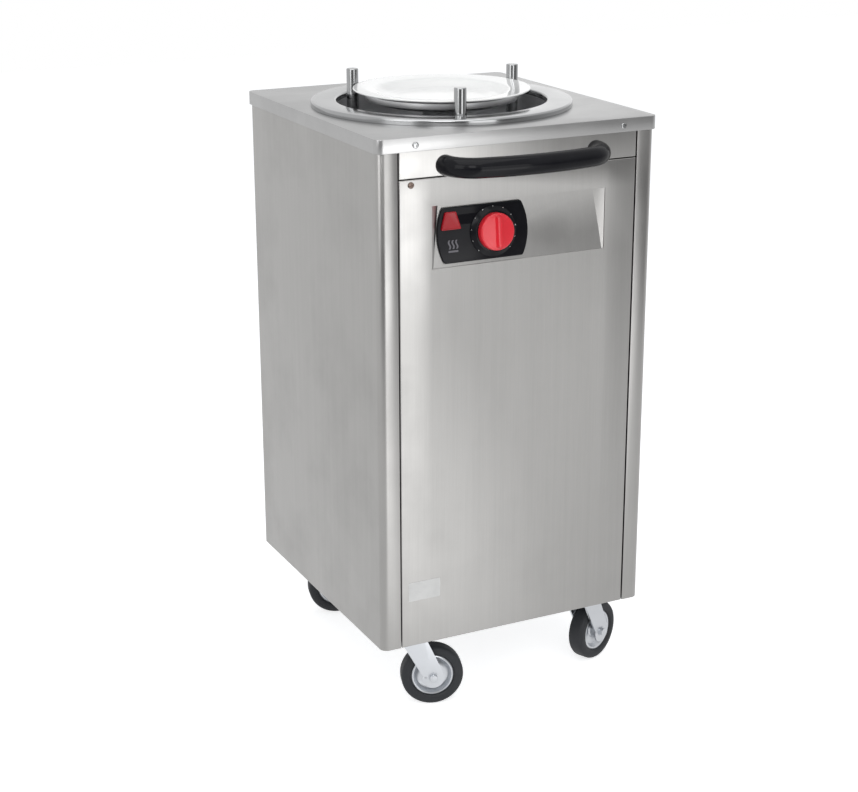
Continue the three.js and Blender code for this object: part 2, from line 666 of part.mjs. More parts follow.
function pilotLamp() {
    const [foot, crown, h] = [LAMP_FOOT / 2, LAMP_CROWN / 2, LAMP_HEIGHT / 2];
    const outline = new THREE.Shape(
        [[-foot, -h], [foot, -h], [crown, h], [-crown, h]].map(([x, z]) => new THREE.Vector2(x, z)));
    const back = FACIA_FRONT + SEAT;
    const lens = upright(outline, -back - LAMP_PROUD, -back);
    piece('pilot_lamp_lens', lens.translate([LAMP_X, 0, LAMP_RISE]), RED_LENS, face);
    const holder = crossBar(LAMP_HOLDER, -FACIA_FRONT, LAMP_HOLDER_LENGTH - FACIA_FRONT);
    piece('pilot_lamp_holder', holder.translate([LAMP_X, 0, LAMP_RISE]), BLACK_PLASTIC, face);
}

// ---------------------------------------------------------------- handle

// Right half of the handle's centre line as [x, stand-off] points, end to middle.
function handleHalf() {
    const sweep = THREE.MathUtils.degToRad(HANDLE_SWEEP);
    const points = [[HANDLE_ENDS, SEAT]];
    const steps = 6;
    for (let i = 0; i <= steps; i += 1) {
        const turn = (sweep * i) / steps;
        points.push([HANDLE_ENDS - HANDLE_BEND * (1 - Math.cos(turn)),
            HANDLE_LEG + HANDLE_BEND * Math.sin(turn)]);
    }
    const [startX, startOut] = points.at(-1);
    const rest = Math.PI / 2 - sweep;                   // turned by the long grip arc
    const gripRadius = startX / Math.sin(rest);
    const gripSteps = 4;
    for (let i = 1; i <= gripSteps; i += 1) {
        const turn = rest * (1 - i / gripSteps);
        points.push([gripRadius * Math.sin(turn),
            startOut + gripRadius * (Math.cos(turn) - Math.cos(rest))]);
    }
    return points;
}

function handle() {
    const right = handleHalf();
    const left = right.slice(0, -1).map(([x, out]) => [-x, out]);
    const line = [...left, ...right.reverse()].map(
        ([x, out]) => new THREE.Vector3(x, FRONT - out, HANDLE_HEIGHT));
    const path = new THREE.CatmullRomCurve3(line);
    const section = new THREE.Shape();
    section.absarc(0, 0, HANDLE_RADIUS, 0, 2 * Math.PI);
    const tube = new THREE.ExtrudeGeometry(
        section, { extrudePath: path, steps: 24, curveSegments: 6 });
    let grip = solid(tube);
    for (const [side, x] of [['left', -HANDLE_ENDS], ['right', HANDLE_ENDS]]) {
        const at = [x, 0, HANDLE_HEIGHT];
        const socket = crossBar(BOLT_RADIUS + RUN, FRONT - BOLT_REACH, FRONT + FOLD);
        grip = grip.subtract(socket.translate(at));
        const head = FRONT + SHEET + SEAT;
        const bolt = crossBar(BOLT_RADIUS, FRONT - BOLT_REACH + SEAT, head + 1, 12)
            .add(crossBar(BOLT_HEAD, head, head + BOLT_HEAD_LENGTH, 6));
        piece(`handle_bolt_${side}`, bolt.translate(at), ZINC);
    }
    piece('bow_handle', grip, BLACK_PLASTIC);
}

// ---------------------------------------------------------------- castors

function castorMount(name, x, y) {
    const low = CASTOR_TOP - MOUNT_SHEET;
    const plate = raised(roundedRectangle(MOUNT_LENGTH, MOUNT_WIDTH, 8), low, CASTOR_TOP, 2)
        .add(bar(RACE_RADIUS, low - RACE_HEIGHT, low + 1, MEDIUM));
    let mount = plate;
    for (const [sx, sy] of [[-1, -1], [1, -1], [1, 1], [-1, 1]]) {
        const slot = bar(MOUNT_HOLE, low - 1, CASTOR_TOP + 1, 8);
        mount = mount.subtract(slot.translate(
            [sx * (MOUNT_LENGTH / 2 - 10), sy * (MOUNT_WIDTH / 2 - 10), 0]));
    }
    piece(name, mount.translate([x, y, 0]), ZINC);
}

const CROWN_TOP = CASTOR_TOP - MOUNT_SHEET - RACE_HEIGHT - SEAT;
const LEG_INNER = TYRE_WIDTH / 2 + FORK_GAP;
const LEG_OUTER = LEG_INNER + FORK_SHEET;

// A pressed fork: a round crown with two legs that slant back to the axle.
function castorFork() {
    const crown = bar(CROWN_RADIUS, CROWN_TOP - CROWN_HEIGHT, CROWN_TOP, MEDIUM);
    let fork = crown;
    for (const [near, far] of [[LEG_INNER, LEG_OUTER], [-LEG_OUTER, -LEG_INNER]]) {
        const shoulder = CROWN_TOP - 1.5 * CROWN_HEIGHT;
        const outline = [[-CROWN_RADIUS + CROWN_HEIGHT, CROWN_TOP],
            [CROWN_RADIUS - 2 * FORK_SHEET, CROWN_TOP],
            [-CROWN_RADIUS + 2 * FORK_SHEET, shoulder], [CROWN_RADIUS, shoulder]];
        for (let degrees = 0; degrees < 360; degrees += 30) {
            const [across, up] = onCircle(BOSS_RADIUS, degrees);
            outline.push([TRAIL + across, TYRE_RADIUS + up]);
        }
        fork = fork.add(hullOf(outline.flatMap(([x, z]) => [[x, near, z], [x, far, z]])));
    }
    const hole = crossBar(AXLE_RADIUS + RUN, -2 * LEG_OUTER, 2 * LEG_OUTER);
    return fork.subtract(hole.translate([TRAIL, 0, TYRE_RADIUS]));
}

function castorAxle() {
    const reach = LEG_OUTER + SEAT;
    let axle = bar(AXLE_RADIUS, -reach - 1, reach + 1);
    for (const side of [-1, 1]) {
        const [low, high] = [reach, reach + AXLE_HEAD_LENGTH].map((v) => side * v)
            .sort((a, b) => a - b);
        axle = axle.add(bar(AXLE_HEAD, low, high, 6));
    }
    return axle;
}

// Pressed disc wheel centre: boss, dished web and a rim that grips the tyre.
function castorHub() {
    const bore = AXLE_RADIUS + RUN;
    const half = TYRE_WIDTH / 2;
    const [boss, web, rim] = [LEG_INNER - FORK_GAP / 4, HUB_WEB, half - HUB_DISH];
    const side = [[bore, boss], [AXLE_BOSS, boss], [AXLE_BOSS + HUB_WEB, web], [HUB_RADIUS, rim]];
    const profile = [...side, ...side.map(([r, h]) => [r, -h]).reverse()];
    return turned(profile, MEDIUM);
}

function castorTyre() {
    const half = TYRE_WIDTH / 2;
    const inner = HUB_RADIUS + SEAT;
    const side = [[inner, half - HUB_DISH], [inner + TYRE_BEAD, half],
        [TYRE_RADIUS - TYRE_BEAD, half], [TYRE_RADIUS, half - TREAD_DROP]];
    const profile = [...side, ...side.map(([r, h]) => [r, -h]).reverse()];
    return turned(profile, MEDIUM);
}

function castors() {
    const shapes = {
        fork: [castorFork(), ZINC], axle: [castorAxle(), ZINC],
        hub: [castorHub(), ZINC], tyre: [castorTyre(), RUBBER],
    };
    for (const [place, heading] of Object.entries(CASTOR_HEADINGS)) {
        const x = place.endsWith('left') ? -CASTOR_X : CASTOR_X;
        const y = place.startsWith('front') ? -CASTOR_Y : CASTOR_Y;
        castorMount(`castor_mount_${place}`, x, y);
        const swivel = new THREE.Group();
        swivel.position.set(x, y, 0);
        swivel.rotation.z = THREE.MathUtils.degToRad(heading);
        model.add(swivel);
        const wheel = new THREE.Group();
        wheel.position.set(TRAIL, 0, TYRE_RADIUS);
        wheel.rotation.x = -Math.PI / 2;
        swivel.add(wheel);
        for (const [part, [body, material]] of Object.entries(shapes)) {
            piece(`castor_${part}_${place}`, body, material, part === 'fork' ? swivel : wheel);
        }
    }
}

// ---------------------------------------------------------------- heater and inlet

// An open ring of sheathed tube whose ends turn down into the terminal block.
function heatingElement() {
    const low = PAN_UNDERSIDE + SHEET + SEAT + RING_SHEET + 3 + SEAT;
    const line = [];
    const [from, to] = [-90 + ELEMENT_GAP / 2, 270 - ELEMENT_GAP / 2];
    const drop = ELEMENT_HEIGHT - low;
    const foot = (angle, height) => [...onCircle(ELEMENT_RADIUS, angle), height];
    line.push(foot(from, low), foot(from, low + drop * 0.4), foot(from + 1, low + drop * 0.8));
    const steps = 20;
    for (let i = 0; i <= steps; i += 1) {
        const angle = from + 8 + ((to - from - 16) * i) / steps;
        line.push(foot(angle, ELEMENT_HEIGHT));
    }
    line.push(foot(to - 1, low + drop * 0.8), foot(to, low + drop * 0.4), foot(to, low));
    const path = new THREE.CatmullRomCurve3(line.map((point) => new THREE.Vector3(...point)));
    const section = new THREE.Shape();
    section.absarc(0, 0, ELEMENT_TUBE, 0, 2 * Math.PI);
    const tube = new THREE.ExtrudeGeometry(
        section, { extrudePath: path, steps: 42, curveSegments: 3 });
    piece('heating_element', solid(tube), DARK_TUBE, well);

    const base = PAN_UNDERSIDE + SHEET + SEAT;
    const [x, y] = onCircle(ELEMENT_RADIUS, from);
    const half = x + 3 * ELEMENT_TUBE;
    let block = box([-half, half], [y - BLOCK_WIDTH / 2, y + BLOCK_WIDTH / 2],
        [base, base + RING_SHEET + BLOCK_HEIGHT]);
    for (const side of [-1, 1]) {
        const socket = bar(ELEMENT_TUBE + RUN, base + RING_SHEET + 3, LID_TOP);
        block = block.subtract(socket.translate([side * x, y, 0]));
    }
    piece('element_terminal_block', block, PORCELAIN, well);
}

function cableGland() {
    const face0 = -FRONT + SEAT;
    const profile = [[GLAND_BORE, -FRONT - FOLD / 2], [GLAND_SHANK, -FRONT - FOLD / 2],
        [GLAND_SHANK, face0], [GLAND_RADIUS, face0], [GLAND_RADIUS, face0 + GLAND_LENGTH / 2],
        [GLAND_RADIUS - 3, face0 + GLAND_LENGTH], [GLAND_BORE, face0 + GLAND_LENGTH]];
    const gland = turned(profile, SMALL).rotate([-90, 0, 0]);
    piece('cable_gland', gland.translate([GLAND_X, 0, GLAND_HEIGHT]), BLACK_PLASTIC);
}

// ---------------------------------------------------------------- assembly

lidPanel();
sidePanels();
upperFrontPanel();
frontPanel();
backPanel();
basePan();
bezel();
wellTube();
wellRings();
guidePosts();
carrierDish();
carrierSpider();
springs();
dinnerPlate();
controlRecess();
facia();
knob();
thermostat();
pilotLamp();
handle();
castors();
heatingElement();
cableGland();

// The origin lies on the floor, under the middle of the whole cart.
const extent = new THREE.Box3().setFromObject(model, true);
const middle = extent.getCenter(new THREE.Vector3());
model.position.set(-middle.x, -middle.y, 0);

export default model;
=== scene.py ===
"""Heated plate dispenser cart: a brushed cabinet on castors with a sprung plate well."""

import math

import bpy
from mathutils import Matrix, Vector


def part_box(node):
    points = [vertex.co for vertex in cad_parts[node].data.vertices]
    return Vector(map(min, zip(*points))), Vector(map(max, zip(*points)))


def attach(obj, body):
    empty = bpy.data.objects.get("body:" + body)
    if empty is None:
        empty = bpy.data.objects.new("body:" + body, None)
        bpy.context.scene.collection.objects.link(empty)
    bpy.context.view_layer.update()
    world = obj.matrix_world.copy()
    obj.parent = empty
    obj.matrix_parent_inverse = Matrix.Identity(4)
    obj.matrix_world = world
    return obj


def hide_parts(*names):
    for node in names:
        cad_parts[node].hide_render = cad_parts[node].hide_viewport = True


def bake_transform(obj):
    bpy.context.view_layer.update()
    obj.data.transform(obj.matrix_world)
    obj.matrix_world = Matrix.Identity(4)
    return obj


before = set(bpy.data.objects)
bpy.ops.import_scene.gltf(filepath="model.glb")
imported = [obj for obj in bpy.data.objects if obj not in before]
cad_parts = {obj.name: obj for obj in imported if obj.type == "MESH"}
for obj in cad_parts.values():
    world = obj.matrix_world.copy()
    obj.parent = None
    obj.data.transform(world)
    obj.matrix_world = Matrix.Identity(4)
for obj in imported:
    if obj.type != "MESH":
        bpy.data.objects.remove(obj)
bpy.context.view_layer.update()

# Places on the cabinet are in metres from the middle of the lid, with the floor at 0.
lid_low, lid_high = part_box("lid_panel")
MIDDLE = Vector(((lid_low.x + lid_high.x) / 2, (lid_low.y + lid_high.y) / 2, 0))
LID_TOP = lid_high.z
ring_low, ring_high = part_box("dispenser_bezel")
WELL_AXIS = Vector(((ring_low.x + ring_high.x) / 2, (ring_low.y + ring_high.y) / 2, 0))
FRONT = -0.250                      # the cabinet's front face; its back is at -FRONT
SHEET = 0.0015
SEAT = 0.0003                       # clearance between two pieces that touch
LID_HALF_X, LID_HALF_Y = 0.2345, 0.253
FOLD = 0.012                        # depth of the panels' folded edges
SEAM, SEAM_GAP = 0.864, 0.0012      # joint between the two front panels
WALL_TOP = LID_TOP - SHEET - SEAT
WALL_BOTTOM = 0.130

WELL_BORE, WELL_FOOT = 0.165, 0.215
POST_CIRCLE, POST_RISE = 0.150, 0.048
POST_ANGLES = {"front": -106, "right": 14, "left": 134}
SPRING_CIRCLE = 0.1525
SPRING_ANGLES = {"right": -46, "back": 74, "left": 194}
CARRIER_LOW, CARRIER_SHEET = LID_TOP + 0.0033, 0.002

RECESS = (0.146, 0.728, 0.822)      # half its width, its foot and its top
RECESS_DEPTH, RECESS_RUN_OUT, RECESS_SLOPE = 0.012, 0.0098, 0.092
RECESS_TILT = math.atan2(RECESS_RUN_OUT, RECESS_SLOPE)
FACE_ORIGIN = Vector((0, FRONT + 0.0071, 0.774))         # the middle of the recess's slope
HANDLE_HEIGHT = 0.881
FACING_FRONT = Matrix.Rotation(math.pi / 2, 4, "X")      # turns Z to the front

AXLE_OUT, AXLE_HIGH = 0.035, 0.05    # from the floor under the swivel
CASTORS = {                         # X, Y and heading in degrees
    "front_left": (-0.1575, -0.191, -18), "front_right": (0.1575, -0.191, 24),
    "back_left": (-0.1575, 0.191, -14), "back_right": (0.1575, 0.191, 15),
}


# ------------------------------------------------------------------ camera and light

CAMERA_PLACE = Vector((-1.2882, -2.5515, 1.3879))
CAMERA_YAW, CAMERA_PITCH, CAMERA_ROLL = -26.285, 18.388, -0.124
FOCAL_PIXELS = 1815.5
PHOTO_WIDTH = 858

SKY_LIGHT, SKY_GLOSS, SKY_DIM = 0.45, 0.92, 0.75
FLOOR_SIZE, FLOOR_GLOW = 14, 0.68
FLOOR_GLOSS, FLOOR_FADE = (0.30, 0.93), (-5.0, -0.9)     # strengths, and the Y between them
CARD_SLANT, CARD_EDGE, CARD_GLOSS = 0.55, (-0.56, 0.02), 1.3
CARD_LEFT, CARD_BACK = (-0.35, -0.05), (-0.5, -0.2)      # X and Y over which the card ends
SOFT_BOXES = {                                           # place, aim, size and power
    "top_box": ((-0.4, -0.6, 3.2), (0, 0, 0.6), (2.6, 2.6), 30),
    "left_box": ((-3.0, -1.6, 1.9), (0, 0, 0.5), (1.6, 2.2), 20),
    "key_box": ((-1.6, -3.3, 2.6), (0, 0, 0.6), (1.3, 1.6), 20),
    "near_box": ((0.11, -1.15, 0.84), (0.11, 0, 0.84), (0.46, 0.70), 1.8),
    "back_box": ((2.1, 2.4, 1.5), (0, 0, 0.8), (2.0, 1.6), 2.5),
}


def make_camera():
    data = bpy.data.cameras.new("photo_camera")
    data.sensor_width = 36
    data.sensor_fit = "HORIZONTAL"
    data.lens = FOCAL_PIXELS / PHOTO_WIDTH * data.sensor_width
    data.clip_end = 60
    camera = bpy.data.objects.new("photo_camera", data)
    bpy.context.scene.collection.objects.link(camera)
    yaw, pitch, roll = (math.radians(v) for v in (CAMERA_YAW, CAMERA_PITCH, CAMERA_ROLL))
    turn = (Matrix.Rotation(yaw, 4, "Z") @ Matrix.Rotation(math.pi / 2 - pitch, 4, "X")
            @ Matrix.Rotation(roll, 4, "Z"))
    camera.matrix_world = Matrix.Translation(CAMERA_PLACE + MIDDLE) @ turn
    bpy.context.scene.camera = camera


def soft_box(name, place, aim, size, power):
    data = bpy.data.lights.new(name, "AREA")
    data.shape = "RECTANGLE"
    data.size, data.size_y = size
    data.energy = power
    lamp = bpy.data.objects.new(name, data)
    lamp.location = MIDDLE + Vector(place)
    lamp.rotation_euler = (Vector(aim) - Vector(place)).to_track_quat("-Z", "Y").to_euler()
    lamp.visible_camera = False
    bpy.context.scene.collection.objects.link(lamp)


def put(tree, value, socket):
    """Sets a socket to a number, or links another node's output to it."""
    if isinstance(value, (int, float)):
        socket.default_value = value
    else:
        tree.links.new(value, socket)


def math_node(tree, operation, *values):
    node = tree.nodes.new("ShaderNodeMath")
    node.operation = operation
    for socket, value in zip(node.inputs, values):
        put(tree, value, socket)
    return node.outputs[0]


def span(tree, value, from_low, from_high, to_low, to_high):
    node = tree.nodes.new("ShaderNodeMapRange")
    for label, given in (("Value", value), ("From Min", from_low), ("From Max", from_high),
                         ("To Min", to_low), ("To Max", to_high)):
        put(tree, given, node.inputs[label])
    return node.outputs["Result"]


def mixed(tree, factor, first, second):
    node = tree.nodes.new("ShaderNodeMixShader")
    tree.links.new(factor, node.inputs["Fac"])
    tree.links.new(first, node.inputs[1])
    tree.links.new(second, node.inputs[2])
    return node.outputs[0]


def seen_by(tree, first, gloss, rest):
    """One shader for the camera and glass, one for gloss, and one that lights the cart."""
    path = tree.nodes.new("ShaderNodeLightPath")
    straight = math_node(tree, "MAXIMUM", path.outputs["Is Camera Ray"],
                         path.outputs["Is Transmission Ray"])
    return mixed(tree, straight, mixed(tree, path.outputs["Is Glossy Ray"], rest, gloss), first)


def make_sky():
    """White to the camera; gloss sees it dim towards the horizon in front."""
    world = bpy.data.worlds.new("studio")
    bpy.context.scene.world = world
    world.use_nodes = True
    tree = world.node_tree
    tree.nodes.clear()
    shades = []
    for color, strength in (((1, 1, 1, 1), 1.0), ((1, 1, 1, 1), 1.0),
                            ((0.92, 0.95, 1.0, 1), SKY_LIGHT)):
        node = tree.nodes.new("ShaderNodeBackground")
        node.inputs["Color"].default_value = color
        node.inputs["Strength"].default_value = strength
        shades.append(node)
    aim = tree.nodes.new("ShaderNodeSeparateXYZ")
    tree.links.new(tree.nodes.new("ShaderNodeTexCoord").outputs["Generated"], aim.inputs[0])
    ahead = span(tree, aim.outputs["Y"], -0.8, 0.1, 1, 0)
    level = span(tree, aim.outputs["Z"], 0.0, 0.6, 1, 0)
    dim = math_node(tree, "MULTIPLY", math_node(tree, "MULTIPLY", ahead, level), SKY_DIM)
    tree.links.new(math_node(tree, "SUBTRACT", SKY_GLOSS, dim), shades[1].inputs["Strength"])
    shown = seen_by(tree, *(shade.outputs[0] for shade in shades))
    tree.links.new(shown, tree.nodes.new("ShaderNodeOutputWorld").inputs["Surface"])


def make_floor():
    """A pale floor that keeps the cart's shadow. Gloss sees it dim away in front, with a
    white card laid out from the cabinet's left front corner."""
    bpy.ops.mesh.primitive_plane_add(size=FLOOR_SIZE, location=(0, 0, 0))
    floor = bpy.context.object
    floor.name = "floor"
    pale = bpy.data.materials.new("pale_floor")
    pale.use_nodes = True
    tree = pale.node_tree
    tree.nodes.clear()
    matt = tree.nodes.new("ShaderNodeBsdfDiffuse")
    matt.inputs["Color"].default_value = (0.86, 0.86, 0.86, 1)
    glow = tree.nodes.new("ShaderNodeEmission")
    glow.inputs["Strength"].default_value = FLOOR_GLOW
    lit = tree.nodes.new("ShaderNodeAddShader")
    tree.links.new(matt.outputs[0], lit.inputs[0])
    tree.links.new(glow.outputs[0], lit.inputs[1])
    gloss = tree.nodes.new("ShaderNodeEmission")
    place = tree.nodes.new("ShaderNodeSeparateXYZ")
    tree.links.new(tree.nodes.new("ShaderNodeTexCoord").outputs["Object"], place.inputs[0])
    x, y = place.outputs["X"], place.outputs["Y"]
    away = span(tree, y, *FLOOR_FADE, *FLOOR_GLOSS)
    aside = math_node(tree, "MULTIPLY_ADD", y, CARD_SLANT, x)
    ends = math_node(tree, "MULTIPLY", span(tree, x, *CARD_LEFT, 0, 1),
                     span(tree, y, *CARD_BACK, 1, 0))
    card = math_node(tree, "MULTIPLY", span(tree, aside, *CARD_EDGE, CARD_GLOSS, 0), ends)
    tree.links.new(math_node(tree, "ADD", away, card), gloss.inputs["Strength"])
    shown = seen_by(tree, lit.outputs[0], gloss.outputs[0], matt.outputs[0])
    tree.links.new(shown, tree.nodes.new("ShaderNodeOutputMaterial").inputs["Surface"])
    floor.data.materials.append(pale)


def make_studio():
    make_sky()
    make_floor()
    for name, (place, aim, size, power) in SOFT_BOXES.items():
        soft_box(name, place, aim, size, power)


# ------------------------------------------------------------------ node groups

def new_group(name, inputs, outputs):
    group = bpy.data.node_groups.new(name, "ShaderNodeTree")
    for label, kind, value in inputs:
        socket = group.interface.new_socket(label, in_out="INPUT", socket_type=kind)
        if value is not None:
            socket.default_value = value
    for label, kind in outputs:
        group.interface.new_socket(label, in_out="OUTPUT", socket_type=kind)
    return group, group.nodes.new("NodeGroupInput"), group.nodes.new("NodeGroupOutput")


def noise(tree, vector, scale, detail, rough):
    node = tree.nodes.new("ShaderNodeTexNoise")
    for label, given in (("Vector", vector), ("Scale", scale), ("Detail", detail),
                         ("Roughness", rough)):
        put(tree, given, node.inputs[label])
    return node.outputs["Fac"]


def grain_group():
    """Long brush strokes: the vector's stretch sets which way they run."""
    group, given, result = new_group(
        "brush_grain",
        [("Vector", "NodeSocketVector", None), ("Stretch", "NodeSocketVector", (1, 1, 0.01)),
         ("Contrast", "NodeSocketFloat", 0.1)],
        [("Shade", "NodeSocketFloat"), ("Height", "NodeSocketFloat")])
    stretch = group.nodes.new("ShaderNodeVectorMath")
    stretch.operation = "MULTIPLY"
    group.links.new(given.outputs["Vector"], stretch.inputs[0])
    group.links.new(given.outputs["Stretch"], stretch.inputs[1])
    fine = noise(group, stretch.outputs[0], 900, 3, 0.6)
    broad = noise(group, stretch.outputs[0], 90, 2, 0.5)
    both = math_node(group, "ADD", math_node(group, "MULTIPLY", fine, 0.6),
                     math_node(group, "MULTIPLY", broad, 0.4))
    centred = math_node(group, "MULTIPLY", math_node(group, "SUBTRACT", both, 0.5),
                        given.outputs["Contrast"])
    group.links.new(math_node(group, "ADD", 1.0, centred), result.inputs["Shade"])
    group.links.new(both, result.inputs["Height"])
    return group


def wear_group():
    """Soft clouds of handling marks and dust, as a factor round 1 and a 0 to 1 mask."""
    group, given, result = new_group(
        "handling_marks",
        [("Vector", "NodeSocketVector", None), ("Size", "NodeSocketFloat", 6.0),
         ("Amount", "NodeSocketFloat", 0.1)],
        [("Shade", "NodeSocketFloat"), ("Mask", "NodeSocketFloat")])
    clouds = noise(group, given.outputs["Vector"], given.outputs["Size"], 5, 0.6)
    centred = math_node(group, "SUBTRACT", clouds, 0.5)
    shade = math_node(group, "ADD", 1.0,
                      math_node(group, "MULTIPLY", centred, given.outputs["Amount"]))
    group.links.new(shade, result.inputs["Shade"])
    group.links.new(span(group, clouds, 0.45, 0.7, 0, 1), result.inputs["Mask"])
    return group


GRAIN = grain_group()
WEAR = wear_group()


# ------------------------------------------------------------------ materials

TINT_SHARE, ROUGH_SPREAD = 0.35, 0.08      # of the marks' mask, in the colour and roughness
BUMP_DEPTH, COAT_ROUGHNESS = 0.0002, 0.05
UPRIGHT, ACROSS = (1, 1, 0.012), (0.012, 1, 1)


def material(name, color, metallic, roughness, *, grain=None, contrast=0.0, marks=0.1,
             mark_size=7.0, mark_tint=None, bump=0.0, speckle=0.0, coat=0.0, specular=0.5,
             glow=0.0):
    """A finish whose colour, roughness and relief vary over the surface."""
    made = bpy.data.materials.new(name)
    made.use_nodes = True
    tree = made.node_tree
    shader = tree.nodes["Principled BSDF"]
    shader.inputs["Metallic"].default_value = metallic
    shader.inputs["Specular IOR Level"].default_value = specular
    shader.inputs["Coat Weight"].default_value = coat
    shader.inputs["Coat Roughness"].default_value = COAT_ROUGHNESS
    place = tree.nodes.new("ShaderNodeTexCoord").outputs["Object"]

    wear = tree.nodes.new("ShaderNodeGroup")
    wear.node_tree = WEAR
    wear.inputs["Size"].default_value = mark_size
    wear.inputs["Amount"].default_value = marks
    tree.links.new(place, wear.inputs["Vector"])
    shade = wear.outputs["Shade"]
    height = None
    if grain:
        strokes = tree.nodes.new("ShaderNodeGroup")
        strokes.node_tree = GRAIN
        strokes.inputs["Stretch"].default_value = grain
        strokes.inputs["Contrast"].default_value = contrast
        tree.links.new(place, strokes.inputs["Vector"])
        shade = math_node(tree, "MULTIPLY", shade, strokes.outputs["Shade"])
        height = strokes.outputs["Height"]
    if speckle:
        height = noise(tree, place, speckle, 3, 0.7)

    tint = tree.nodes.new("ShaderNodeMix")
    tint.data_type = "RGBA"
    tint.inputs["A"].default_value = (*color, 1)
    tint.inputs["B"].default_value = (*(mark_tint or [c * 0.8 for c in color]), 1)
    mask = wear.outputs["Mask"]
    tree.links.new(math_node(tree, "MULTIPLY", mask, TINT_SHARE), tint.inputs["Factor"])
    scaled = tree.nodes.new("ShaderNodeVectorMath")
    scaled.operation = "SCALE"
    tree.links.new(tint.outputs["Result"], scaled.inputs[0])
    tree.links.new(shade, scaled.inputs["Scale"])
    tree.links.new(scaled.outputs[0], shader.inputs["Base Color"])

    spread = math_node(tree, "MULTIPLY", mask, ROUGH_SPREAD)
    tree.links.new(math_node(tree, "ADD", roughness, spread), shader.inputs["Roughness"])
    if height is not None and bump:
        relief = tree.nodes.new("ShaderNodeBump")
        relief.inputs["Strength"].default_value = bump
        relief.inputs["Distance"].default_value = BUMP_DEPTH
        tree.links.new(height, relief.inputs["Height"])
        tree.links.new(relief.outputs[0], shader.inputs["Normal"])
    if glow:
        shader.inputs["Emission Color"].default_value = (*color, 1)
        shader.inputs["Emission Strength"].default_value = glow
    return made


FINISH = {
    "brushed_upright": material("brushed_steel_upright", (0.405, 0.400, 0.392), 1, 0.28,
                                grain=UPRIGHT, contrast=0.22, marks=0.10, bump=0.12),
    "brushed_lid": material("brushed_steel_lid", (0.445, 0.445, 0.445), 1, 0.30,
                            grain=ACROSS, contrast=0.18, marks=0.10, bump=0.10),
    "polished": material("polished_steel", (0.39, 0.395, 0.40), 1, 0.12, marks=0.06,
                         grain=(1, 1, 0.2), contrast=0.05, bump=0.02, mark_size=12),
    "galvanised": material("galvanised_sheet", (0.45, 0.46, 0.47), 0.9, 0.42, marks=0.35,
                           mark_size=38, speckle=120, bump=0.15),
    "zinc": material("zinc_plating", (0.62, 0.64, 0.67), 0.95, 0.28, marks=0.18,
                     mark_size=30, speckle=300, bump=0.08),
    # satin steel whose colour is set lighter than the other steels: painted light that lifts the
    # well tube and carrier out of their shade
    "satin_lightened": material("satin_steel_lightened", (0.72, 0.72, 0.73), 1, 0.38, marks=0.08, mark_size=20,
                      speckle=200, bump=0.05),
    "spring": material("spring_wire", (0.42, 0.42, 0.43), 1, 0.25, marks=0.2, mark_size=60),
    "black_gloss": material("black_gloss_plastic", (0.008, 0.008, 0.010), 0, 0.11, marks=0.2,
                            mark_size=25, mark_tint=(0.014, 0.014, 0.016), speckle=500,
                            bump=0.02, specular=0.12),
    "red_gloss": material("red_gloss_plastic", (0.78, 0.02, 0.035), 0, 0.28, marks=0.12,
                          mark_size=40, speckle=700, bump=0.04, coat=0.3),
    "red_lens": material("red_lamp_lens", (0.36, 0.005, 0.012), 0, 0.16, marks=0.5,
                         mark_size=90, specular=0.3, glow=0.04),
    "rubber": material("dark_rubber", (0.02, 0.022, 0.026), 0, 0.62, marks=0.4, mark_size=24,
                       mark_tint=(0.045, 0.045, 0.048), speckle=400, bump=0.25),
    "porcelain": material("white_porcelain", (0.90, 0.90, 0.88), 0, 0.14, marks=0.02,
                          mark_size=10, mark_tint=(0.88, 0.87, 0.85), coat=0.7,
                          speckle=60, bump=0.01),
    "heat_dark": material("heat_dark_tube", (0.16, 0.14, 0.13), 0.8, 0.45, marks=0.4,
                          mark_size=30, mark_tint=(0.10, 0.07, 0.06), speckle=300, bump=0.1),
    "label": material("label_film", (0.60, 0.60, 0.59), 0.3, 0.35, marks=0.05, mark_size=40,
                      speckle=500, bump=0.03),
    "white_print": material("white_print", (0.80, 0.80, 0.78), 0, 0.45, marks=0.08,
                            mark_size=60),
    "grey_print": material("grey_print", (0.13, 0.125, 0.14), 0, 0.45, marks=0.1, mark_size=60),
    "dark_screw": material("browned_screw", (0.20, 0.15, 0.13), 1, 0.4, marks=0.3,
                           mark_size=200),
}


# ------------------------------------------------------------------ modelling by hand

def deselect():
    if bpy.context.object and bpy.context.object.mode != "OBJECT":
        bpy.ops.object.mode_set(mode="OBJECT")
    bpy.ops.object.select_all(action="DESELECT")


def only(made):
    deselect()
    bpy.context.view_layer.objects.active = made
    made.select_set(True)


def start(name, operator, **settings):
    """A primitive at its size and place, which is then shaped into the piece."""
    deselect()
    operator(**settings)
    made = bpy.context.object
    made.name = made.data.name = name
    bpy.ops.object.transform_apply(location=True, rotation=True, scale=True)
    return made


def block(name, low, high):
    size = [b - a for a, b in zip(low, high)]
    centre = [(a + b) / 2 for a, b in zip(low, high)]
    return start(name, bpy.ops.mesh.primitive_cube_add, size=1, location=centre, scale=size)


def rod(name, radius, low, high, facets=48, centre=(0, 0)):
    return start(name, bpy.ops.mesh.primitive_cylinder_add, vertices=facets, radius=radius,
                 depth=high - low, location=(*centre, (low + high) / 2))


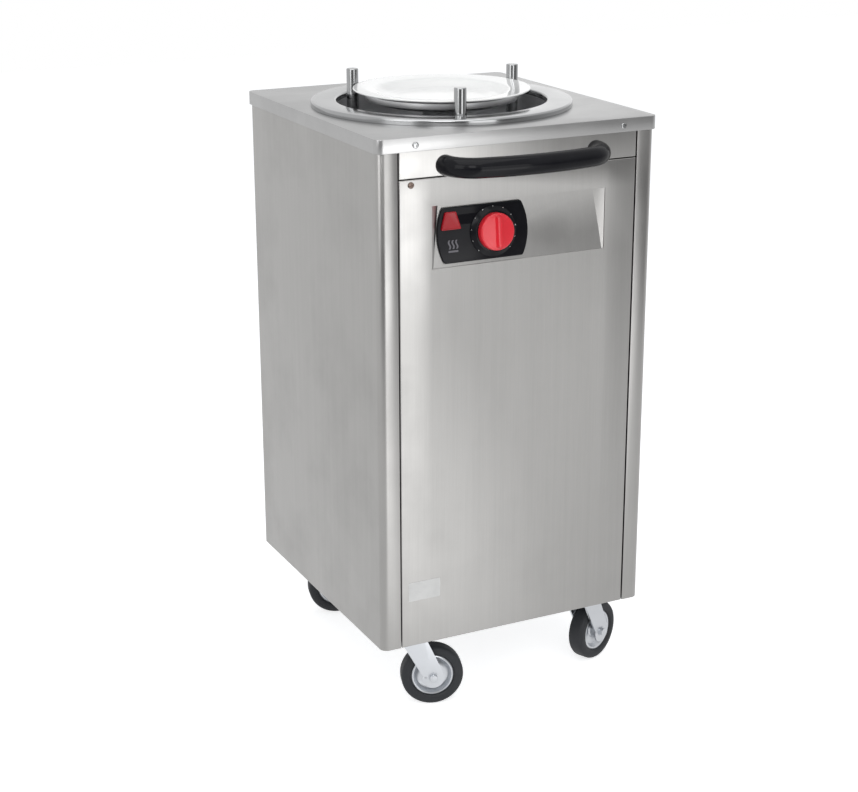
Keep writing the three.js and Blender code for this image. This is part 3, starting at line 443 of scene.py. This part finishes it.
def pick(made, *, faces=None, edges=None, points=None):
    """Selects what passes the test, in edit mode, and leaves the piece there."""
    only(made)
    bpy.ops.object.mode_set(mode="EDIT")
    kind = "FACE" if faces else "EDGE" if edges else "VERT"
    bpy.ops.mesh.select_mode(type=kind)
    bpy.ops.mesh.select_all(action="DESELECT")
    bpy.ops.object.mode_set(mode="OBJECT")
    mesh = made.data
    if faces:
        for face in mesh.polygons:
            face.select = bool(faces(face.center, face.normal))
    elif edges:
        for edge in mesh.edges:
            a, b = (mesh.vertices[i].co for i in edge.vertices)
            edge.select = bool(edges(a, b))
    else:
        for vertex in mesh.vertices:
            vertex.select = bool(points(vertex.co))
    bpy.ops.object.mode_set(mode="EDIT")


def done():
    bpy.ops.object.mode_set(mode="OBJECT")


def bevel_edges(made, width, segments, test):
    pick(made, edges=test)
    bpy.ops.mesh.bevel(offset=width, segments=segments, affect="EDGES")
    done()


def drop_faces(made, test):
    pick(made, faces=test)
    bpy.ops.mesh.delete(type="FACE")
    done()


def extrude(x, y, z):
    bpy.ops.mesh.extrude_region_move(TRANSFORM_OT_translate={"value": (x, y, z)})


def modify(made, kind, **settings):
    only(made)
    modifier = made.modifiers.new(kind.lower(), kind)
    for key, value in settings.items():
        setattr(modifier, key, value)
    bpy.ops.object.modifier_apply(modifier=modifier.name)


def cut(made, tool, operation="DIFFERENCE"):
    modify(made, "BOOLEAN", object=tool, operation=operation, solver="EXACT")
    bpy.data.objects.remove(tool)


def round_edges(made, width, segments=3, angle=30):
    modify(made, "BEVEL", width=width, segments=segments, limit_method="ANGLE",
           angle_limit=math.radians(angle), harden_normals=False)


def thicken(made, even=True):
    """Gives a sheet its thickness, inwards from the face it was drawn on."""
    modify(made, "SOLIDIFY", thickness=SHEET, offset=-1, use_even_offset=even)


def smooth(made, angle=35):
    only(made)
    bpy.ops.object.shade_smooth_by_angle(angle=math.radians(angle))


def outward(made):
    """Merges doubles and turns every face outwards."""
    pick(made, points=lambda co: True)
    bpy.ops.mesh.remove_doubles(threshold=1e-6)
    bpy.ops.mesh.normals_make_consistent(inside=False)
    done()


def turned(name, profile, facets=96, closed=True):
    """Extrudes a ring of points through the profile's radii and heights. It is then left
    open, capped at both ends, or with "loop" joined from its last ring to its first."""
    radius, height = profile[0]
    made = start(name, bpy.ops.mesh.primitive_circle_add, vertices=facets, radius=radius,
                 location=(0, 0, height), fill_type="NOTHING")
    pick(made, points=lambda co: True)
    for wide, high in profile[1:]:
        extrude(0, 0, high - height)
        grow = wide / radius
        bpy.ops.transform.resize(value=(grow, grow, 1), center_override=(0, 0, high))
        radius, height = wide, high
    done()
    if closed == "loop":
        pick(made, edges=lambda a, b: on_ring(a, b, profile[0]) or on_ring(a, b, profile[-1]))
        bpy.ops.mesh.bridge_edge_loops()
        done()
    elif closed:
        cap(made, profile[0], profile[-1])
    outward(made)
    return made


def cap(made, *rings):
    for ring in rings:
        pick(made, edges=lambda a, b: on_ring(a, b, ring))
        bpy.ops.mesh.edge_face_add()
        done()


def on_ring(a, b, ring):
    radius, height = ring
    return all(abs(p.z - height) < 1e-6 and abs(math.hypot(p.x, p.y) - radius) < 1e-5
               for p in (a, b))


def arc(centre, radius, start_angle, end_angle, steps):
    """Points of an arc in a profile, angles in degrees from outwards to upwards."""
    points = []
    for i in range(steps + 1):
        turn = math.radians(start_angle + (end_angle - start_angle) * i / steps)
        points.append((centre[0] + radius * math.cos(turn),
                       centre[1] + radius * math.sin(turn)))
    return points


def on_circle(radius, degrees):
    turn = math.radians(degrees)
    return Vector((radius * math.cos(turn), radius * math.sin(turn), 0))


def move(made, matrix):
    made.data.transform(matrix)
    made.data.update()


def lying(made):
    """Turns a piece made about Z so that its axis lies along Y."""
    move(made, Matrix.Rotation(-math.pi / 2, 4, "X"))
    return made


def copied(made, name, matrix):
    twin = made.copy()
    twin.data = made.data.copy()
    twin.name = twin.data.name = name
    bpy.context.scene.collection.objects.link(twin)
    move(twin, matrix)
    return twin


def joined(name, first, *rest):
    deselect()
    for each in (first, *rest):
        each.select_set(True)
    bpy.context.view_layer.objects.active = first
    bpy.ops.object.join()
    first.name = first.data.name = name
    return first


def paint(made, finish):
    made.data.materials.clear()
    made.data.materials.append(FINISH[finish])


def fit(made, finish, slot, body, *nodes, at=MIDDLE):
    """Puts a finished piece on the cart, with its finish, its body and the nodes it shows."""
    move(made, Matrix.Translation(at))
    paint(made, finish)
    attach(made, body)
    if nodes:
        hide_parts(*nodes)


# ------------------------------------------------------------------ cabinet

def lid():
    """A sheet with its skirt folded down and a hole for the well."""
    skirt, corner, hole_gap = 0.021, 0.012, 0.003
    made = block("lid_sheet", (-LID_HALF_X, -LID_HALF_Y, LID_TOP - skirt),
                 (LID_HALF_X, LID_HALF_Y, LID_TOP))
    bevel_edges(made, corner, 8, lambda a, b: abs(a.z - b.z) > 0.01)
    drop_faces(made, lambda c, n: n.z < -0.9)
    thicken(made)
    round_edges(made, 0.0007, 3, 60)
    cut(made, rod("lid_cutter", WELL_BORE + hole_gap, LID_TOP - 0.01, LID_TOP + 0.01, 128,
                  (WELL_AXIS - MIDDLE).xy))
    smooth(made)
    fit(made, "brushed_lid", "brushed_sheet", "cabinet", "lid_panel")


def side_panels():
    """An upright is bent at each end of the side, with a fold that faces the panel between."""
    inner, outer, bend, back_shorter = 0.2005, 0.2315, 0.012, 0.001
    made = block("right_side_sheet", (inner, FRONT, WALL_BOTTOM), (outer, -FRONT, WALL_TOP))
    bevel_edges(made, bend, 10, lambda a, b: abs(a.z - b.z) > 0.1 and a.x > outer - 1e-4)
    drop_faces(made, lambda c, n: abs(n.z) > 0.9 or n.x < -0.9)
    for side, shorter in ((-1, 0), (1, back_shorter)):
        pick(made, edges=lambda a, b: a.x < inner + 1e-4 and b.x < inner + 1e-4
             and a.y * side > 0.1)
        bpy.ops.transform.translate(value=(shorter, 0, 0))
        extrude(0, -side * FOLD, 0)
        done()
    outward(made)
    thicken(made)
    round_edges(made, 0.0004, 2, 60)
    smooth(made)
    left = copied(made, "left_side_sheet", Matrix.Scale(-1, 4, (1, 0, 0)))
    outward(left)
    fit(made, "brushed_upright", "brushed_sheet", "cabinet", "right_side_panel")
    fit(left, "brushed_upright", "brushed_sheet", "cabinet", "left_side_panel")


def tray(name, half, low, high):
    """A flat sheet whose edges are folded back, facing the front."""
    made = block(name, (-half, FRONT, low), (half, FRONT + FOLD, high))
    bevel_edges(made, 0.0016, 4, lambda a, b: a.y < FRONT + 1e-4 and b.y < FRONT + 1e-4)
    drop_faces(made, lambda c, n: n.y > 0.9)
    return made


def front_panels():
    half_front = 0.1985
    upper = tray("upper_front_sheet", half_front, SEAM + SEAM_GAP / 2, WALL_TOP)
    thicken(upper)
    smooth(upper)
    fit(upper, "brushed_upright", "brushed_sheet", "cabinet", "upper_front_panel")

    half, low, high = RECESS
    made = tray("front_sheet", half_front, WALL_BOTTOM, SEAM - SEAM_GAP / 2)
    for place, normal in (((half, 0, 0), (1, 0, 0)), ((-half, 0, 0), (1, 0, 0)),
                          ((0, 0, low), (0, 0, 1)), ((0, 0, high), (0, 0, 1))):
        pick(made, faces=lambda c, n: True)
        bpy.ops.mesh.bisect(plane_co=place, plane_no=normal)
        done()
    drop_faces(made, lambda c, n: n.y < -0.9 and abs(c.x) < half and low < c.z < high)
    thicken(made)
    round_edges(made, 0.0004, 2, 60)
    smooth(made)
    fit(made, "brushed_upright", "brushed_sheet", "cabinet", "front_panel")


def back_panel():
    made = tray("back_sheet", 0.1995, WALL_BOTTOM, WALL_TOP)
    thicken(made)
    move(made, Matrix.Rotation(math.pi, 4, "Z"))
    hole = rod("gland_cutter", 0.0082, -0.02, 0.02, 32)
    move(hole, Matrix.Translation((0.1495, -FRONT, 0.19)) @ FACING_FRONT)
    cut(made, hole)
    smooth(made)
    fit(made, "brushed_upright", "brushed_sheet", "cabinet", "back_panel")


def base_pan():
    half_x, half_y, low, rim = 0.2297, 0.2377, WALL_BOTTOM + 0.002, 0.028
    made = block("base_tray", (-half_x, -half_y, low), (half_x, half_y, low + rim))
    bevel_edges(made, 0.002, 4, lambda a, b: abs(a.z - b.z) > 0.01 or max(a.z, b.z) < low + 0.001)
    drop_faces(made, lambda c, n: n.z > 0.9)
    thicken(made)
    smooth(made)
    fit(made, "galvanised", "galvanised_sheet", "cabinet", "base_pan")


def pan_head(name, radius, proud):
    """A cross-slotted screw head standing on z = 0."""
    wall, dome = proud * 0.35, proud * 0.65
    made = turned(name, [(radius, 0), (radius, wall),
                         *arc((radius - dome, wall), dome, 20, 90, 4), (0.0004, proud)], 32)
    reach, half_slot, slot_floor = radius * 0.62, radius * 0.13, proud * 0.45
    for turn in (0.3, 0.3 + math.pi / 2):
        slot = block("slot_cutter", (-reach, -half_slot, slot_floor),
                     (reach, half_slot, proud * 2))
        move(slot, Matrix.Rotation(turn, 4, "Z"))
        cut(made, slot)
    smooth(made)
    return made


def screws():
    """One in each half of the lid's skirt, and one in the front panel's left corner."""
    shape = pan_head("skirt_screw", 0.0048, 0.0022)
    for side in (-1, 1):
        place = Matrix.Translation((side * 0.1735, -LID_HALF_Y, 0.9135)) @ FACING_FRONT
        screw = copied(shape, "skirt_screw_" + ("left" if side < 0 else "right"), place)
        fit(screw, "polished", "zinc_plate", "cabinet")
    place = Matrix.Translation((-0.1797, FRONT, 0.8556)) @ FACING_FRONT
    fit(copied(shape, "front_panel_screw", place), "dark_screw", "zinc_plate", "cabinet")
    bpy.data.objects.remove(shape)


def rating_label():
    """A blank film label low on the front, with a border line."""
    x, z, half_x, half_z = -0.160, 0.221, 0.027, 0.0155
    made = block("blank_label", (x - half_x, FRONT - 0.0002, z - half_z),
                 (x + half_x, FRONT + 0.0003, z + half_z))
    bevel_edges(made, 0.002, 4, lambda a, b: abs(a.y - b.y) > 1e-5)
    for inset, depth in ((0.0012, 0.0), (0.0005, -0.00005)):
        pick(made, faces=lambda c, n: n.y < -0.9 and abs(c.x - x) < 0.001
             and abs(c.z - z) < 0.001)
        bpy.ops.mesh.inset(thickness=inset, depth=depth)
        done()
    smooth(made)
    fit(made, "label", "brushed_sheet", "cabinet")


# ------------------------------------------------------------------ well and carrier

def bezel():
    low, high, outer, edge = LID_TOP + SEAT, LID_TOP + 0.009, 0.205, 0.003
    made = turned("bezel_ring", [
        (WELL_BORE, low), (outer, low), *arc((outer - edge, high - edge), edge, 0, 90, 6),
        *arc((WELL_BORE + edge, high - edge), edge, 90, 180, 6)], 160, "loop")
    smooth(made)
    fit(made, "polished", "polished_steel", "cabinet", "dispenser_bezel", at=WELL_AXIS)


def well():
    outer = WELL_BORE + SHEET
    made = turned("well_tube", [(WELL_BORE, WELL_FOOT), (outer, WELL_FOOT), (outer, LID_TOP),
                                (WELL_BORE, LID_TOP)], 160, "loop")
    smooth(made)
    # painted light: the tube takes the lightened satin colour in place of the light its shade
    # keeps out
    fit(made, "satin_lightened", "galvanised_sheet", "cabinet", "dispenser_tube", at=WELL_AXIS)

    bore, outer, foot, top = 0.008, 0.0095, WELL_FOOT + 0.0033, LID_TOP + POST_RISE
    for name, angle in POST_ANGLES.items():
        post = turned("post_" + name, [
            (bore, foot), (outer, foot), *arc((bore, top - SHEET), SHEET, 0, 90, 5),
            (0.0005, top), (0.0005, top - SHEET), (bore, top - SHEET)], 48, "loop")
        smooth(post)
        move(post, Matrix.Translation(on_circle(POST_CIRCLE, angle)))
        fit(post, "polished", "polished_steel", "cabinet", "guide_post_" + name, at=WELL_AXIS)


def carrier():
    """A dish with a slanted side, a beaded rim and three vents."""
    low, floor, rim, height = CARRIER_LOW, CARRIER_LOW + CARRIER_SHEET, 0.119, 0.0162
    bead, vent, vent_circle = height / 3, 0.014, 0.045
    made = turned("carrier_pan", [
        (0.0005, low), (rim - 0.019, low), (rim - 0.008, low + bead - 0.001),
        *arc((rim - 0.0015, low + bead + 0.0015), 0.0015, -90, 0, 4),
        *arc((rim - 0.002, low + height - 0.002), 0.002, 0, 90, 5),
        *arc((rim - 0.003, low + height - 0.002), 0.002, 90, 150, 4),
        (rim - 0.009, floor + bead), (rim - 0.020, floor), (0.0005, floor)], 128, "loop")
    for angle in POST_ANGLES.values():
        cut(made, rod("vent_cutter", vent, low - 0.01, low + 0.01, 48,
                      on_circle(vent_circle, angle).xy))
    smooth(made)
    # painted light: the carrier takes the lightened satin colour in place of the light under the
    # plate
    fit(made, "satin_lightened", "polished_steel", "carrier", "carrier_dish", at=WELL_AXIS)


def plate():
    """A dinner plate with a foot ring, closed at its middle once it is subdivided."""
    rim, foot, shoulder, height = 0.139, 0.076, 0.107, 0.021
    low = CARRIER_LOW + CARRIER_SHEET + SEAT
    high = low + height
    profile = [(0.0005, low + 0.0024), (foot - 0.004, low + 0.0024), (foot - 0.003, low + 0.0006),
               (foot - 0.002, low), (foot + 0.002, low), (foot + 0.003, low + 0.0006),
               (foot + 0.004, low + 0.0025), (shoulder - 0.012, low + 0.0078),
               (shoulder - 0.001, high - 0.0066), (rim - 0.006, high - 0.0038),
               *arc((rim - 0.0016, high - 0.0016), 0.0016, -70, 90, 6),
               (rim - 0.006, high - 0.0004), (shoulder + 0.004, high - 0.0026),
               (shoulder, high - 0.0032), (shoulder - 0.004, high - 0.0048),
               (shoulder - 0.010, high - 0.009), (shoulder - 0.017, low + 0.0074),
               (shoulder - 0.026, low + 0.0062), (0.0005, low + 0.0060)]
    made = turned("porcelain_plate", profile, 160, False)
    modify(made, "SUBSURF", levels=1, render_levels=1)
    cap(made, profile[0], profile[-1])
    outward(made)
    smooth(made, 60)
    fit(made, "porcelain", "porcelain", "carrier", "dinner_plate", at=WELL_AXIS)


def springs():
    """Wound coils at one fixed length; on the real dispenser they open out as the carrier sinks.
    """
    low, high, wire, radius, pitch, steps = 0.7006, 0.8794, 0.0011, 0.0053, 0.0030, 12
    turns = (high - low - 2 * wire) / pitch
    for name, angle in SPRING_ANGLES.items():
        curve = bpy.data.curves.new("coil_" + name, "CURVE")
        curve.dimensions = "3D"
        curve.bevel_depth = wire
        curve.bevel_resolution = 1
        curve.use_fill_caps = True
        spline = curve.splines.new("POLY")
        spline.points.add(int(turns * steps))
        for i, point in enumerate(spline.points):
            turn = 2 * math.pi * i / steps
            point.co = (radius * math.cos(turn), radius * math.sin(turn),
                        low + wire + pitch * i / steps, 1)
        made = bpy.data.objects.new("coil_" + name, curve)
        bpy.context.scene.collection.objects.link(made)
        only(made)
        bpy.ops.object.convert(target="MESH")
        made = bpy.context.object
        outward(made)
        centre = WELL_AXIS + on_circle(SPRING_CIRCLE, angle)
        move(made, Matrix.Translation(centre))
        smooth(made, 80)
        paint(made, "spring")
        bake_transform(made)
        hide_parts("carrier_spring_" + name)


# ------------------------------------------------------------------ controls

FACE = (Matrix.Translation(FACE_ORIGIN) @ Matrix.Rotation(-RECESS_TILT, 4, "X")
        @ FACING_FRONT)                 # X across, Y up the slope, Z outwards
FACIA_BACK, FACIA_FRONT = 0.0003, 0.0033
KNOB_X = -0.044
LAMP_PLACE = (-0.114, 0.022)
FACE_HOLES = ((0.005, (KNOB_X, 0)), (0.0067, LAMP_PLACE))


def on_face(x=0.0, y=0.0):
    return FACE @ Matrix.Translation((x, y, 0))


def recess():
    """A tray pushed in from its mouth: deep at the top, and run out to the front at the foot."""
    half, low, high = RECESS
    mouth, back, reach = FRONT + 0.0018, FRONT + RECESS_DEPTH, (high - low) / 2
    cheek, foot_cheek, ceiling, flange = 0.015, 0.00275, 0.002, 0.01
    made = block("recess_sheet", (-half, mouth, low), (half, back, high))
    for test, inset, shift in (
            (lambda co: co.y > back - 1e-5 and co.z > high - 1e-5, cheek, (0, 0, -ceiling)),
            (lambda co: co.y > back - 1e-5 and co.z < low + 1e-5, foot_cheek,
             (0, -RECESS_RUN_OUT, 0))):
        pick(made, points=test)
        bpy.ops.transform.resize(value=((half - inset) / half, 1, 1), center_override=(0, 0, 0))
        bpy.ops.transform.translate(value=shift)
        done()
    drop_faces(made, lambda c, n: n.y < -0.9 and c.y < mouth + 1e-4)
    pick(made, edges=lambda a, b: a.y < mouth + 1e-4 and b.y < mouth + 1e-4
         and (abs(a.x - b.x) > 0.2 or abs(a.z - b.z) > 0.05))
    bpy.ops.mesh.extrude_region_move()
    bpy.ops.transform.resize(value=((half + flange) / half, 1, (reach + flange) / reach),
                             center_override=(0, FRONT, (low + high) / 2))
    done()
    outward(made)
    if sum(face.normal.y * face.area for face in made.data.polygons) > 0:    # facing back
        pick(made, faces=lambda c, n: True)
        bpy.ops.mesh.flip_normals()
        done()
    return made


def control_recess():
    made = recess()
    thicken(made, even=False)
    round_edges(made, 0.0005, 3, 20)
    for radius, place in FACE_HOLES:
        hole = rod("recess_cutter", radius, -0.02, 0.02, 32)
        move(hole, on_face(*place))
        cut(made, hole)
    smooth(made, 25)
    fit(made, "brushed_upright", "brushed_sheet", "cabinet", "control_recess")


def control_plate():
    """A plate whose ends are bowed: its long edges are subdivided and moved onto an arc."""
    centre, half_w, half_h, bulge = -0.060, 0.075, 0.041, 0.010
    radius = (half_h ** 2 + bulge ** 2) / (2 * bulge)
    made = block("facia_plate", (centre - half_w, -half_h, FACIA_BACK),
                 (centre + half_w, half_h, FACIA_FRONT))
    pick(made, edges=lambda a, b: abs(a.y - b.y) > half_h)
    bpy.ops.mesh.subdivide(number_cuts=31)
    done()
    for vertex in made.data.vertices:
        inset = radius - math.sqrt(radius ** 2 - vertex.co.y ** 2)
        vertex.co.x -= math.copysign(inset, vertex.co.x - centre)
    bevel_edges(made, 0.0025, 5,
                lambda a, b: abs(a.z - b.z) > 0.002 and abs(a.y) > half_h - 1e-4)
    round_edges(made, 0.0008, 3, 50)
    for reach, place in FACE_HOLES:
        cut(made, rod("facia_hole", reach, -0.01, 0.02, 32, place))
    smooth(made)
    move(made, FACE)
    fit(made, "black_gloss", "black_plastic", "cabinet", "control_plate")


def knob():
    """A skirt with a sloped edge, a grip with its ridge, and ticks printed on the slope."""
    bore, low = 0.0032, 0.0036
    skirt = turned("knob_scale", [
        (bore, low), (0.038, low), *arc((0.0373, 0.0048), 0.0007, 0, 70, 3),
        (0.0335, 0.0080), (0.0312, 0.0098), *arc((0.0308, 0.0096), 0.0005, 40, 90, 2),
        (bore, 0.0101)], 128, "loop")
    smooth(skirt, 25)
    move(skirt, on_face(KNOB_X))
    fit(skirt, "black_gloss", "black_plastic", "knob", "knob_skirt")

    grip = turned("knob_handle", [
        (0.0282, 0.0104), *arc((0.0274, 0.0170), 0.0006, 0, 20, 1),
        *arc((0.0250, 0.0182), 0.0026, 15, 90, 6), (0.0005, 0.0212)], 128)
    half_wide, half_long, ridge_top = 0.0050, 0.0268, 0.0275
    ridge = block("grip_ridge", (-half_wide, -half_long, 0.0160),
                  (half_wide, half_long, ridge_top))
    bevel_edges(ridge, 0.0045, 8, lambda a, b: abs(a.z - b.z) > 0.01)
    pick(ridge, faces=lambda c, n: n.z > 0.9)
    bpy.ops.transform.resize(value=(0.62, 0.84, 1), center_override=(0, 0, ridge_top))
    done()
    cut(grip, ridge, "UNION")
    round_edges(grip, 0.0009, 3, 32)
    cut(grip, rod("shaft_cutter", bore, 0.0, 0.0226, 24))
    smooth(grip, 40)
    move(grip, on_face(KNOB_X))
    fit(grip, "red_gloss", "red_plastic", "knob", "knob_grip")

    ticks, outer, pivot, slope = [], 0.0374, 0.0368, math.radians(32.2)
    lift = (Matrix.Translation((0, pivot, 0.0059)) @ Matrix.Rotation(slope, 4, "X")
            @ Matrix.Translation((0, -pivot, 0)))
    for i in range(11):
        turn = math.radians(225 - 27 * i)
        long = 0.0044 if i % 2 == 0 else 0.0030
        half = 0.0011 if i % 4 == 0 else 0.0006
        tick = block("tick", (-half, outer - long, 0.0), (half, outer, 0.0003))
        move(tick, Matrix.Rotation(turn - math.pi / 2, 4, "Z") @ lift)
        ticks.append(tick)
    made = joined("scale_ticks", *ticks)
    move(made, on_face(KNOB_X))
    fit(made, "white_print", "black_plastic", "knob")


def lamp():
    """A lens that is narrower at its top."""
    half_foot, half_high, low, proud, top_share = 0.016, 0.013, FACIA_FRONT + SEAT, 0.004, 0.53
    made = block("lamp_lens", (-half_foot, -half_high, low),
                 (half_foot, half_high, low + proud))
    pick(made, points=lambda co: co.y > 0)
    bpy.ops.transform.resize(value=(top_share, 1, 1), center_override=(0, 0, 0))
    done()
    bevel_edges(made, 0.0018, 4, lambda a, b: abs(a.z - b.z) > 0.002)
    pick(made, faces=lambda c, n: n.z > 0.9)
    bpy.ops.mesh.inset(thickness=0.0010, depth=0)
    bpy.ops.mesh.inset(thickness=0.0006, depth=-0.0008)
    done()
    round_edges(made, 0.0004, 3, 40)
    smooth(made)
    move(made, on_face(*LAMP_PLACE))
    fit(made, "red_lens", "red_lens", "cabinet", "pilot_lamp_lens")


def heat_symbol():
    """Three waves over a plate, printed under the lamp."""
    low, foot, wave_high, wave_out = FACIA_FRONT, -0.0045, 0.013, 0.0012
    high = low + 0.0002
    parts = [block("symbol_plate", (-0.008, -0.0095, low), (0.008, -0.0068, high))]
    for x in (-0.0060, 0.0, 0.0060):
        wave = block("symbol_wave", (x - 0.0013, foot, low), (x + 0.0013, 0.0085, high))
        pick(wave, edges=lambda a, b: abs(a.y - b.y) > 0.005)
        bpy.ops.mesh.subdivide(number_cuts=15)
        done()
        for vertex in wave.data.vertices:
            share = (vertex.co.y - foot) / wave_high
            vertex.co.x += wave_out * math.sin(share * 2 * math.pi)
        parts.append(wave)
    made = joined("heat_symbol", *parts)
    move(made, on_face(-0.1105, -0.0155))
    fit(made, "grey_print", "black_plastic", "cabinet")


# ------------------------------------------------------------------ handle

def handle():
    """A ring of points spun through the end bends and the long grip."""
    radius, end, leg, bend, sweep = 0.015, 0.126, 0.005, 0.042, math.radians(78)
    made = start("bow_grip", bpy.ops.mesh.primitive_circle_add, vertices=40, radius=radius,
                 location=(end, FRONT - SEAT, HANDLE_HEIGHT), rotation=(math.pi / 2, 0, 0),
                 fill_type="NGON")
    start_x = end - bend * (1 - math.cos(sweep))
    rest = math.pi / 2 - sweep
    long_radius = start_x / math.sin(rest)
    start_out = leg + bend * math.sin(sweep)
    pick(made, faces=lambda c, n: True)
    extrude(0, SEAT - leg, 0)
    bends = (
        (sweep, 12, end - bend, FRONT - leg),
        (2 * rest, 20, 0, FRONT - start_out + long_radius * math.cos(rest)),
        (sweep, 12, bend - end, FRONT - leg),
    )
    for angle, steps, x, y in bends:
        bpy.ops.mesh.spin(steps=steps, angle=angle, center=(x, y, HANDLE_HEIGHT),
                          axis=(0, 0, 1))
    extrude(0, leg - SEAT, 0)
    done()
    outward(made)
    round_edges(made, 0.0015, 4, 60)
    smooth(made)
    made.visible_glossy = False       # the real sheet is too dull to mirror the grip
    fit(made, "black_gloss", "black_plastic", "cabinet", "bow_handle")


# ------------------------------------------------------------------ castors

def fork_shape():
    """A crown under the mount, and two legs that trail down to the axle."""
    top, crown, out, half_sheet = 0.1234, 0.028, 0.019, 0.0015
    made = rod("fork", crown, top - 0.008, top, 64)
    round_edges(made, 0.002, 4, 50)
    legs = []
    for side in (-1, 1):
        place = Matrix.Translation((AXLE_OUT, side * out, AXLE_HIGH))
        leg = lying(rod("leg", 0.018, -half_sheet, half_sheet, 48))
        move(leg, place)
        blank = block("blank", (-0.020, side * out - half_sheet, AXLE_HIGH),
                      (0.022, side * out + half_sheet, top - 0.001))
        pick(blank, points=lambda co: co.z < AXLE_HIGH + 0.01)
        bpy.ops.transform.translate(value=(0.036, 0, 0.001))
        bpy.ops.transform.resize(value=(0.83, 1, 1), center_override=(0.037, 0, 0))
        done()
        cut(leg, blank, "UNION")
        hole = lying(rod("axle_cutter", 0.0042, -0.01, 0.01, 32))
        move(hole, place)
        cut(leg, hole)
        round_edges(leg, 0.0006, 2, 40)
        legs.append(leg)
    for leg in legs:
        cut(made, leg, "UNION")
    smooth(made, 30)
    return made


def axle_shape():
    """A pin with a hexagon and a washer at each end."""
    end, washer, low, high = 0.0215, 0.0085, 0.0206, 0.0212
    made = rod("axle", 0.004, -end, end, 32)
    for side in (-1, 1):
        head = rod("head", 0.007, 0.0208, 0.0258, 6)
        round_edges(head, 0.0006, 3, 40)
        collar = turned("collar", [(washer, low), (washer, high), (0.0005, high),
                                   (0.0005, low)], 32, "loop")
        head = joined("head", head, collar)
        if side < 0:
            move(head, Matrix.Rotation(math.pi, 4, "X"))
        made = joined("axle", made, head)
    smooth(made, 30)
    return lying(made)


def hub_shape():
    bore, boss, web, rim, edge = 0.0042, 0.0165, 0.0028, 0.0118, 0.034
    side = [(bore, boss), (0.0095, boss), (0.011, boss - 0.0015), (0.0125, 0.006),
            (0.0150, 0.0036), (0.0180, web), (0.0235, web), (0.0262, 0.0040),
            (0.0290, 0.0090), (0.0305, rim - 0.0006), (0.0325, rim), (edge, rim - 0.0010)]
    profile = [(r, -h) for r, h in side] + [(r, h) for r, h in reversed(side)]
    made = turned("hub", profile, 96, "loop")
    smooth(made, 28)
    return lying(made)


def tyre_shape():
    half, inner, outer, shoulder = 0.014, 0.0343, AXLE_HIGH, 0.0058
    side = [(inner, half - 0.003), (inner + 0.0012, half - 0.0014),
            (inner + 0.004, half - 0.0002), (inner + 0.0075, half),
            *[(outer - shoulder + r, half - shoulder + h) for r, h in
              ((0.0018, 0.0055), (0.0036, 0.0046), (0.0049, 0.0026), (0.0056, 0.0010))],
            (outer, half - 0.0075)]
    profile = [(r, -h) for r, h in side] + [(r, h) for r, h in reversed(side)]
    made = turned("tyre", profile, 120, "loop")
    smooth(made, 40)
    return lying(made)


BOLT_PLACES = [(x, y) for x in (-0.0375, 0.0375) for y in (-0.030, 0.030)]


def mount_shape():
    """A plate under the base pan with its swivel race."""
    half_x, half_y, corner, top, sheet = 0.0475, 0.040, 0.008, 0.1317, 0.003
    made = block("mount", (-half_x, -half_y, top - sheet), (half_x, half_y, top))
    bevel_edges(made, corner, 6, lambda a, b: abs(a.z - b.z) > 0.001)
    for place in BOLT_PLACES:
        cut(made, rod("slot_cutter", 0.0045, top - 0.01, top + 0.01, 32, place))
    round_edges(made, 0.0004, 2, 50)
    race = turned("race", [(0.025, top - 0.0035), (0.025, top - 0.0065),
                           *arc((0.0235, top - 0.0065), 0.0015, 0, -90, 4),
                           (0.0005, top - 0.008), (0.0005, top - 0.0035)], 64, "loop")
    made = joined("mount", made, race)
    smooth(made)
    return made


def mount_bolts(name, place):
    heads = []
    for centre in BOLT_PLACES:
        head = rod("bolt", 0.0065, 0.1237, 0.1285, 6, centre)
        round_edges(head, 0.0006, 3, 40)
        heads.append(head)
    made = joined(name, *heads)
    smooth(made, 30)
    move(made, place)
    fit(made, "zinc", "zinc_plate", "cabinet")


def castors():
    """Each piece is made once and copied to the four places, turned to their headings."""
    shapes = {"fork": fork_shape(), "axle": axle_shape(), "hub": hub_shape(),
              "tyre": tyre_shape(), "mount": mount_shape()}
    for place, (x, y, heading) in CASTORS.items():
        post = Matrix.Translation((x, y, 0))
        swivel = post @ Matrix.Rotation(math.radians(heading), 4, "Z")
        wheel = swivel @ Matrix.Translation((AXLE_OUT, 0, AXLE_HIGH))
        rows = (("mount", post, "zinc", "zinc_plate", "cabinet"),
                ("fork", swivel, "zinc", "zinc_plate", "swivel_" + place),
                ("axle", wheel, "zinc", "zinc_plate", "swivel_" + place),
                ("hub", wheel, "zinc", "zinc_plate", "wheel_" + place),
                ("tyre", wheel, "rubber", "rubber_tyre", "wheel_" + place))
        for part, matrix, finish, slot, body in rows:
            twin = copied(shapes[part], part + "_" + place, matrix)
            fit(twin, finish, slot, body, "castor_" + part + "_" + place)
        mount_bolts("mount_bolts_" + place, post)
    for shape in shapes.values():
        bpy.data.objects.remove(shape)


# ------------------------------------------------------------------ kept nodes

KEPT = {                            # solids out of sight, which show as they are
    "well_base_ring": "galvanised", "spring_hanger_ring": "galvanised",
    "carrier_spider": "galvanised", "thermostat_body": "galvanised",
    "thermostat_shaft": "zinc", "pilot_lamp_holder": "black_gloss",
    "handle_bolt_left": "zinc", "handle_bolt_right": "zinc",
    "heating_element": "heat_dark", "element_terminal_block": "porcelain",
    "cable_gland": "black_gloss",
}


def finish_kept_nodes():
    for name, finish in KEPT.items():
        paint(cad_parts[name], finish)


bpy.context.scene.view_settings.view_transform = "Standard"
make_camera()
make_studio()
lid()
side_panels()
front_panels()
back_panel()
base_pan()
screws()
rating_label()
bezel()
well()
carrier()
plate()
springs()
control_recess()
control_plate()
knob()
lamp()
heat_symbol()
handle()
castors()
finish_kept_nodes()
